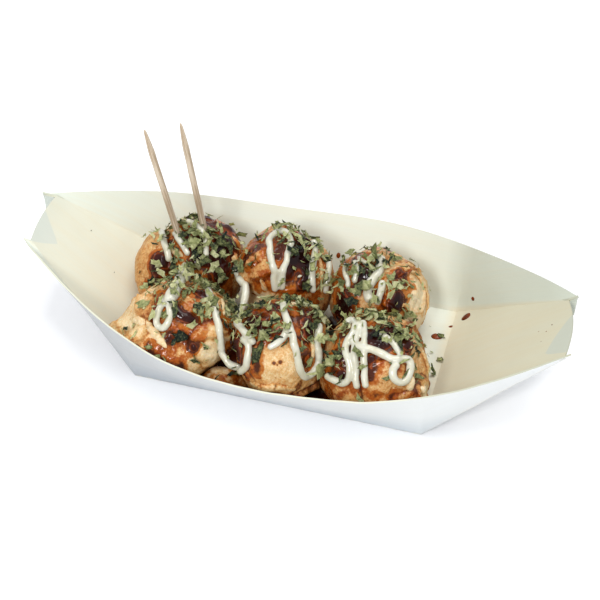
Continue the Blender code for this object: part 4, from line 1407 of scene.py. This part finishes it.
def laver_finish():
    """Dried leaf: each flake has its own green, mottled, with paler veins."""
    finish, tree, shader, place = new_finish("laver")
    mottle = add_range(tree, add_noise(tree, place, 900.0), 0.3, 0.7, -0.5, 0.5)
    share = add_sum(tree, add_marks(tree, "tone"), mottle, 0.34)
    colour = add_ramp(tree, share, [
        (0.00, (0.012, 0.022, 0.017)), (0.18, (0.065, 0.085, 0.038)), (0.36, (0.215, 0.245, 0.098)),
        (0.58, (0.410, 0.440, 0.190)), (0.80, (0.60, 0.62, 0.31)), (1.0, (0.76, 0.76, 0.47)),
    ])
    veins = add_noise(tree, place, 1900.0)
    pale = add_range(tree, veins, 0.52, 0.70, 0.0, 0.25)
    set_inputs(tree, shader, {
        "Base Color": add_mix(tree, pale, colour, (0.46, 0.49, 0.25)), "Roughness": 0.62,
        "Specular IOR Level": 0.25, "Normal": add_bump(tree, veins, 0.0002, 0.5),
    })
    return finish


def laver_tree(flakes):
    """Geometry nodes that set a flake on each point, as that point's values say."""
    tree, given, names = new_tree("laver", Size="NodeSocketFloat", Finish="NodeSocketMaterial")
    shapes = add_node(tree, "GeometryNodeCollectionInfo", {
        "Collection": flakes, "Separate Children": True, "Reset Children": True})
    turn = add_node(tree, "FunctionNodeEulerToRotation", {
        "Euler": point_value(tree, "turn", "FLOAT_VECTOR")})
    length = point_value(tree, "length", "FLOAT")
    placed = add_node(tree, "GeometryNodeInstanceOnPoints", {
        "Points": given.outputs["Geometry"], "Instance": shapes.outputs[0], "Pick Instance": True,
        "Instance Index": point_value(tree, "shape", "INT"), "Rotation": turn.outputs[0],
        "Scale": add_math(tree, "MULTIPLY", length, given.outputs["Size"])})
    end_tree(tree, placed, given.outputs["Finish"])
    return tree, names


def set_on(normal, spin, tilt, lean):
    """The turn of a flake that lies on a surface, spun and then tilted off it."""
    flat = normal.to_track_quat("Z", "Y").to_matrix().to_4x4()
    turn = flat @ Matrix.Rotation(spin, 4, "Z") @ Matrix.Rotation(tilt, 4, "X")
    return (turn @ Matrix.Rotation(lean, 4, "Y")).to_euler()


def drift_at(x, y):
    """How thick the flakes lie at a place in plan, in millimetres: 0 is bare, 1 is full."""
    thick = THIN_COVER
    for middle_x, middle_y, radius, share in DRIFTS:
        away = ((x - middle_x) ** 2 + (y - middle_y) ** 2) / radius ** 2
        thick = max(thick, share * max(0.0, 1.0 - away * 0.6))
    for middle_x, middle_y, radius in BARE:
        away = ((x - middle_x) ** 2 + (y - middle_y) ** 2) / radius ** 2
        thick *= min(1.0, away ** 2 + 0.02)
    return thick


laver = laver_finish()
flake_shapes = bpy.data.collections.new("flake_shapes")
for number in range(FLAKE_SHAPES):
    flake_shapes.objects.link(flake_form(f"flake_{number:02d}", 40 + number, laver))

# Large leaves, listed in millimetres and degrees: the place, the length, the spin in
# plan, how far it tilts up, how light it is, and which shape it has.
LEAVES = [
    (-35, -39.5, 31.5, 8.0, 10, 10, 0.02, 2), (-37, -41, 29.5, 5.0, 60, 10, 0.10, 5),
    (-45.5, -45.5, 28.5, 4.5, 10, 5, 0.55, 4), (-41, -41, 31.5, 3.6, 40, 30, 0.70, 7),
    (-43, -40, 33.5, 4.0, 100, 30, 0.75, 1), (-50.5, -28, 37, 5.0, 60, 20, 0.85, 6),
    (-47.5, -30, 38.5, 4.5, 20, 25, 0.55, 9), (-37, -22, 39.5, 6.0, 20, 20, 0.70, 0),
    (-39.5, -29, 40, 5.0, 120, 30, 0.60, 3), (-26.5, -25, 35, 6.0, 95, 15, 0.42, 8),
    (-28, -29.5, 34, 5.0, 30, 20, 0.80, 10), (-4.5, -40, 31.5, 11.5, 78, 8, 0.20, 12),
    (-9, -36, 36.5, 7.5, 12, 10, 0.62, 11), (4, -32, 38.5, 5.5, 8, 10, 0.66, 4),
    (1.5, -25, 41, 7.0, 45, 15, 0.52, 11), (-11, -38, 32.5, 5.0, 60, 20, 0.60, 1),
    (-8.5, -33, 38, 6.0, 30, 20, 0.72, 6), (-3, -36, 38.5, 4.0, 100, 20, 0.80, 3),
    (20, -36.5, 23.5, 9.5, 85, 35, 0.66, 2), (21.5, -35, 29, 5.5, 70, 30, 0.85, 8),
    (27, -36.5, 31, 4.5, 80, 30, 0.72, 9), (48, -33, 35, 6.0, 20, 15, 0.58, 6),
    (36, -26, 39, 5.5, 10, 15, 0.04, 4), (45.5, -25, 38, 6.0, 20, 35, 0.58, 12),
    (51, -27, 32.5, 5.5, 90, 30, 0.30, 8), (40, -28, 38.5, 5.0, 0, 30, 0.72, 13),
    (22.5, 4, 31, 8.0, 80, 20, 0.30, 13), (20.5, 1, 26.5, 8.0, 5, 25, 0.05, 8),
    (11, 12, 30, 6.0, 65, 30, 0.85, 4), (35.5, 2, 33.5, 6.0, 50, 20, 0.82, 10),
    (37.5, 6, 35, 6.0, 20, 20, 0.45, 1), (25, 12, 39, 6.5, 10, 20, 0.72, 11),
    (24.5, 16, 41, 9.5, 130, 50, 0.42, 2), (22.5, 14.5, 40, 6.0, 100, 60, 0.55, 7),
    (-15.5, 20, 38, 6.5, 60, 20, 0.66, 11), (-9.5, 14.5, 41.5, 4.5, 90, 15, 0.72, 4),
    (-7.5, 11, 41, 5.0, 60, 15, 0.62, 6), (-1.5, 12.5, 40.5, 7.0, 0, 15, 0.02, 9),
    (-3.5, 14.5, 41, 5.0, 30, 40, 0.82, 13), (4.5, 17, 37.5, 7.0, 160, 20, 0.40, 11),
    (9, 15.5, 40, 6.5, 150, 60, 0.62, 2), (12, 13.5, 39, 6.0, 110, 70, 0.66, 7),
    (9.5, 13, 36.5, 3.6, 80, 60, 0.70, 1), (-19.5, 3, 34, 4.5, 60, 20, 0.40, 4),
    (-59.5, 2, 36.5, 5.5, 10, 15, 0.03, 9), (-57.5, 11, 37, 4.5, 45, 20, 0.62, 3),
    (-51, -1, 33, 4.0, 60, 25, 0.10, 12), (-46, 12, 41, 5.5, 90, 30, 0.58, 1),
    (-49.5, 18.5, 40, 5.0, 40, 30, 0.45, 4), (-38.5, 18, 38, 5.5, 15, 20, 0.78, 11),
    (-35, 14.5, 36.5, 5.0, 30, 25, 0.08, 5), (-45, -3, 33, 5.5, 60, 30, 0.90, 6),
    (-34.5, 1, 31.5, 6.5, 20, 20, 0.88, 13), (-40.5, -2, 33, 6.0, 100, 25, 0.90, 12),
    (-45, 4.5, 38, 8.5, 150, 15, 0.80, 0), (-30, -2, 27, 6.0, 40, 25, 0.80, 4),
    (52, 8, 1.6, 2.2, 10, 25, 0.62, 5), (56, 5, 1.6, 4.2, 160, 15, 0.66, 2),
    (55, -4, 1.6, 4.0, 60, 30, 0.30, 8), (54, -14, 1.6, 4.4, 60, 20, 0.40, 3),
    (54.0, 18.2, 2.4, 4.4, 0, 8, 0.42, 2), (48.5, 22.5, 2.0, 1.4, 0, 10, 0.45, 9),
    (-90.5, 11.5, 29.3, 0.9, 0, 5, 0.10, 4), (-77.5, 1, 18.6, 0.8, 0, 5, 0.20, 4),
]

# Everything that the flakes can fall on, as one surface, with the boat's faces last.
bed_points = list(crust_points)
bed_faces = [tuple(face) for face in crust_triangles]
for piece in [strands, scrap] + [bpy.data.objects["sauce_" + name] for name in POOLS] + [boat]:
    start = len(bed_points)
    boat_first = len(bed_faces)
    bed_points += [vertex.co.copy() for vertex in piece.data.vertices]
    bed_faces += [tuple(corner + start for corner in face.vertices) for face in piece.data.polygons]
flake_bed = BVHTree.FromPolygons(bed_points, bed_faces)

sprinkle = random.Random(5)
flakes = []
for _ in range(FLAKE_TRIES):
    x = sprinkle.uniform(*SPRINKLED_X)
    y = sprinkle.uniform(*SPRINKLED_Y)
    chance = sprinkle.random()
    length = lerp(*FLAKE_LENGTHS, sprinkle.random() ** 1.35)
    spin = sprinkle.uniform(0.0, tau)
    tilt = sprinkle.gauss(0.0, UNEVEN_LIE)
    lean = sprinkle.gauss(0.0, UNEVEN_LIE)
    tone = sprinkle.betavariate(1.25, 1.05)
    shape = sprinkle.randrange(FLAKE_SHAPES)
    pile = sprinkle.uniform(0.0, PILE)
    hit, normal, below, _ = flake_bed.ray_cast(Vector((x, y, DROPPED_FROM)) / 1000.0, -UP)
    if hit is None or below >= boat_first or hit.z < LOWEST_FLAKE or normal.z < STEEPEST:
        continue
    if chance * max(STICKING, normal.z) > drift_at(x, y) * 0.85:
        continue
    lift = SET_OFF + pile + 0.25 * length * abs(sin(tilt))
    flakes.append((hit + normal * lift, set_on(normal, spin, tilt, lean), length, tone, shape))
for x, y, z, length, spin, tilt, tone, shape in LEAVES:
    ground, normal, _, _ = flake_bed.find_nearest(Vector((x, y, z)) / 1000.0)
    normal = normal.lerp(UP, 0.3).normalized()
    place = ground + normal * (0.0005 + 0.0003 * length * sin(radians(tilt)))
    turn = set_on(normal, radians(spin), 0.0, -radians(tilt))
    flakes.append((place, turn, length / 1000.0, tone, shape))
flake_points = bpy.data.meshes.new("laver")
flake_points.from_pydata([flake[0] for flake in flakes], [], [])
for label, kind, key, numbers in (
    ("turn", "FLOAT_VECTOR", "vector", [value for flake in flakes for value in flake[1]]),
    ("length", "FLOAT", "value", [flake[2] for flake in flakes]),
    ("tone", "FLOAT", "value", [flake[3] for flake in flakes]),
    ("shape", "INT", "value", [flake[4] for flake in flakes]),
):
    flake_points.attributes.new(label, kind, "POINT").data.foreach_set(key, numbers)
green = add_piece("laver", flake_points)
scatter = green.modifiers.new("laver", "NODES")
scatter.node_group, sockets = laver_tree(flake_shapes)
scatter[sockets["Size"]] = 1.0
scatter[sockets["Finish"]] = laver
plain_mesh(green)
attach(green, "root")
for shape in list(flake_shapes.objects):
    bpy.data.objects.remove(shape)
bpy.data.collections.remove(flake_shapes)


# --- The picks --------------------------------------------------------------------------
# Two turned wooden picks, round and pointed at both ends, stand in the ball at the back
# left. Their grain runs along them.
PICK_SIDES = 20
PICK_STEPS = 60
PICK_TAPER = 0.010
PICK_POINT = 0.00018


def wood_finish():
    """Pale birch: fine lengthwise grain, a little darker in cloudy patches."""
    finish, tree, shader, place = new_finish("pick_wood")
    grain = add_grain(tree, (2200.0, 55.0), detail=4.0, roughness=0.65, distortion=0.4)
    cloud = add_noise(tree, place, 130.0, detail=2.0)
    share = add_sum(tree, add_range(tree, grain, 0.35, 0.68), cloud, 0.3)
    colour = add_ramp(tree, share, [
        (0.10, (0.64, 0.545, 0.43)), (0.55, (0.53, 0.43, 0.31)), (1.0, (0.34, 0.245, 0.155)),
    ])
    set_inputs(tree, shader, {"Base Color": colour, "Roughness": 0.55,
                              "Normal": add_bump(tree, grain, 0.0001, 0.5)})
    return finish


def build_pick(node_name):
    """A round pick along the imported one's axis, with its length, girth and lean."""
    points = [vertex.co.copy() for vertex in frame["nodes"][node_name].data.vertices]
    low = min(points, key=lambda point: point.z)
    high = max(points, key=lambda point: point.z)
    axis = (high - low).normalized()
    length = (high - low).length
    across = axis.orthogonal().normalized()
    middle = low.lerp(high, 0.5)
    radius = max((point - low - axis * (point - low).dot(axis)).length for point in points)
    mesh = bmesh.new()
    flat = mesh.loops.layers.uv.verify()
    profile = []
    for step in range(PICK_STEPS + 1):
        far = length * step / PICK_STEPS
        end = min(far, length - far) / PICK_TAPER
        size = radius * (min(1.0, 0.30 + 0.70 * end ** 0.75) if end < 1.0 else 1.0)
        size *= min(1.0, 0.55 + end * 6.0)
        profile.append((far, max(PICK_POINT, size)))
    rings = []
    for far, size in profile:
        ring = []
        for side in range(PICK_SIDES):
            turn = tau * side / PICK_SIDES
            spoke = across * cos(turn) + axis.cross(across) * sin(turn)
            uneven = 1.0 + 0.05 * noise.noise(Vector((turn * 2.0, far / 0.004, middle.x * 100.0)))
            ring.append(mesh.verts.new(low + axis * far + spoke * size * uneven))
        rings.append(ring)
    for index, (first, second) in enumerate(zip(rings, rings[1:])):
        for side in range(PICK_SIDES):
            after = (side + 1) % PICK_SIDES
            face = mesh.faces.new((first[side], first[after], second[after], second[side]))
            for loop, (edge, step) in zip(face.loops, ((0, 0), (1, 0), (1, 1), (0, 1))):
                turn = radius * tau * (side + edge) / PICK_SIDES
                loop[flat].uv = (turn, profile[index + step][0])
    for ring, tip in ((rings[0], low), (rings[-1], high)):
        point = mesh.verts.new(tip)
        for side in range(PICK_SIDES):
            mesh.faces.new((ring[side], ring[(side + 1) % PICK_SIDES], point))
    bmesh.ops.recalc_face_normals(mesh, faces=mesh.faces)
    form = finished_form("turned_" + node_name, mesh)
    form.shade_smooth()
    return form


wood = wood_finish()
for node_name in ("pick_left", "pick_right"):
    pick = add_piece("turned_" + node_name, build_pick(node_name), wood)
    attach(pick, "root")
    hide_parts(node_name)


# --- The spilt sauce --------------------------------------------------------------------
# A few drops of the sauce have fallen on the bare veneer, most of them at the right. They
# lie as low round caps, thin enough to look brown.
# In millimetres and degrees: the place, the length, the width and the turn of each drop, then
# how deep its sauce looks.
DROPS = [(61.9, 28.2, 4.4, 3.4, 25, 0.12), (63.2, 33.2, 1.8, 1.6, 150, 0.04),
         (56.6, 25.2, 2.2, 1.3, 30, 0.03), (52.2, 17.9, 4.6, 3.4, 5, 0.04),
         (4.7, 42.8, 2.4, 1.8, 90, 0.0), (96.8, 3.0, 0.7, 0.6, 0, 0.2),
         (92.4, 1.8, 0.5, 0.4, 0, 0.2), (95.2, 0.3, 0.6, 0.5, 0, 0.2),
         (94.1, -4.4, 0.5, 0.4, 0, 0.2)]
DROP_RINGS = 6
DROP_SIDES = 24
DROP_RISE = 0.00022             # how high a drop stands for each millimetre of its width
DROP_SUNK = 0.00005             # how far its underside lies in the veneer
POURED_FROM = 0.2


def add_drop(mesh, depths, ground, normal, long, wide, turn, deep, seed):
    """A low round cap on the veneer, uneven at its rim and closed below."""
    along = Vector((cos(radians(turn)), sin(radians(turn)), 0.0))
    along = (along - normal * along.dot(normal)).normalized()
    across = normal.cross(along)
    height = wide * DROP_RISE
    rings = []
    for ring in range(DROP_RINGS + 1):
        share = sin(ring / DROP_RINGS * pi / 2.0)
        rise = cos(ring / DROP_RINGS * pi / 2.0) * height - DROP_SUNK
        line = []
        for side in range(DROP_SIDES):
            angle = tau * side / DROP_SIDES
            swell = 1.0 + 0.12 * noise.noise(Vector((cos(angle) + seed, sin(angle), 0.5)))
            reach = share * swell / 2000.0
            spot = ground + along * long * cos(angle) * reach
            spot += across * wide * sin(angle) * reach
            line.append(mesh.verts.new(spot + normal * rise))
            line[-1][depths] = deep
        rings.append(line)
    for inner, outer in zip(rings, rings[1:]):
        for side in range(DROP_SIDES):
            after = (side + 1) % DROP_SIDES
            mesh.faces.new((inner[side], outer[side], outer[after], inner[after]))
    mesh.faces.new(rings[-1][::-1])


boat_bed = surface_of(boat.data)
drop_mesh = bmesh.new()
drop_depths = drop_mesh.verts.layers.float.new("deep")
for x, y, long, wide, turn, deep in DROPS:
    above = Vector((x / 1000.0, y / 1000.0, POURED_FROM))
    ground, normal, _, _ = boat_bed.ray_cast(above, -UP)
    add_drop(drop_mesh, drop_depths, ground, normal, long, wide, turn, deep, x)
bmesh.ops.remove_doubles(drop_mesh, verts=drop_mesh.verts, dist=SAME_POINT)
bmesh.ops.recalc_face_normals(drop_mesh, faces=drop_mesh.faces)
drop_form = finished_form("sauce_drops", drop_mesh)
drop_form.shade_smooth()
drops = add_piece("sauce_drops", drop_form, sauce)
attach(drops, "root")


# --- The studio -------------------------------------------------------------------------
# The boat stands on a white floor under a large soft light above and behind it, with a
# weaker one in front and white walls all round, so that its shadow is short and soft. Two
# small bulbs hang above it and give the wet sauce its points of light.
FLOOR_HALF = 4.0
FLOOR_GAP = 0.0001              # between the floor and the boat's base

floor_form = bmesh.new()
bmesh.ops.create_grid(floor_form, x_segments=2, y_segments=2, size=FLOOR_HALF)
floor_level = cad_box[0][2] - FLOOR_GAP
bmesh.ops.translate(floor_form, verts=floor_form.verts, vec=(0.0, 0.0, floor_level))
floor_finish, tree, shader, place = new_finish("white_floor")
mottle = add_noise(tree, place, 3.0)
set_inputs(tree, shader, {
    "Base Color": add_mix(tree, mottle, (0.95, 0.95, 0.96), (0.97, 0.97, 0.98)),
    "Roughness": 0.9, "Specular IOR Level": 0.1,
})
floor = add_piece("floor", finished_form("floor", floor_form), floor_finish)

walls = bpy.data.worlds.new("studio_walls")
walls.use_nodes = True
set_inputs(walls.node_tree, walls.node_tree.nodes["Background"], {
    "Color": (0.94, 0.965, 1.0, 1.0), "Strength": 0.80})
bpy.context.scene.world = walls


def add_light(name, place, size, power, colour):
    """A square soft light that faces the middle of the boat."""
    lamp = bpy.data.lights.new(name, "AREA")
    lamp.shape = "SQUARE"
    lamp.size = size
    lamp.energy = power
    lamp.color = colour
    light = bpy.data.objects.new(name, lamp)
    light.location = place
    light.rotation_euler = Vector(place).to_track_quat("Z", "Y").to_euler()
    bpy.context.scene.collection.objects.link(light)


add_light("softbox_above", (0.20, 0.25, 1.20), 0.60, 5.0, (1.0, 0.985, 0.95))
add_light("bulb_above", (-0.10, -0.05, 1.10), 0.09, 0.8, (1.0, 0.99, 0.97))
add_light("bulb_right", (0.12, -0.28, 1.00), 0.06, 0.45, (1.0, 0.99, 0.97))
add_light("softbox_front", (-0.10, -0.85, 0.75), 0.22, 5.8, (1.0, 0.99, 0.98))

camera_lens = bpy.data.cameras.new("camera")
camera_lens.lens = 83.88
camera_lens.sensor_width = 36.0
camera_lens.clip_start = 0.01
camera = bpy.data.objects.new("camera", camera_lens)
camera.location = (0.10829, -0.38422, 0.39303)
camera.rotation_euler = (radians(90.0 - 42.79), 0.0, radians(15.72))
bpy.context.scene.collection.objects.link(camera)
bpy.context.scene.camera = camera
bpy.context.scene.view_settings.view_transform = "Standard"
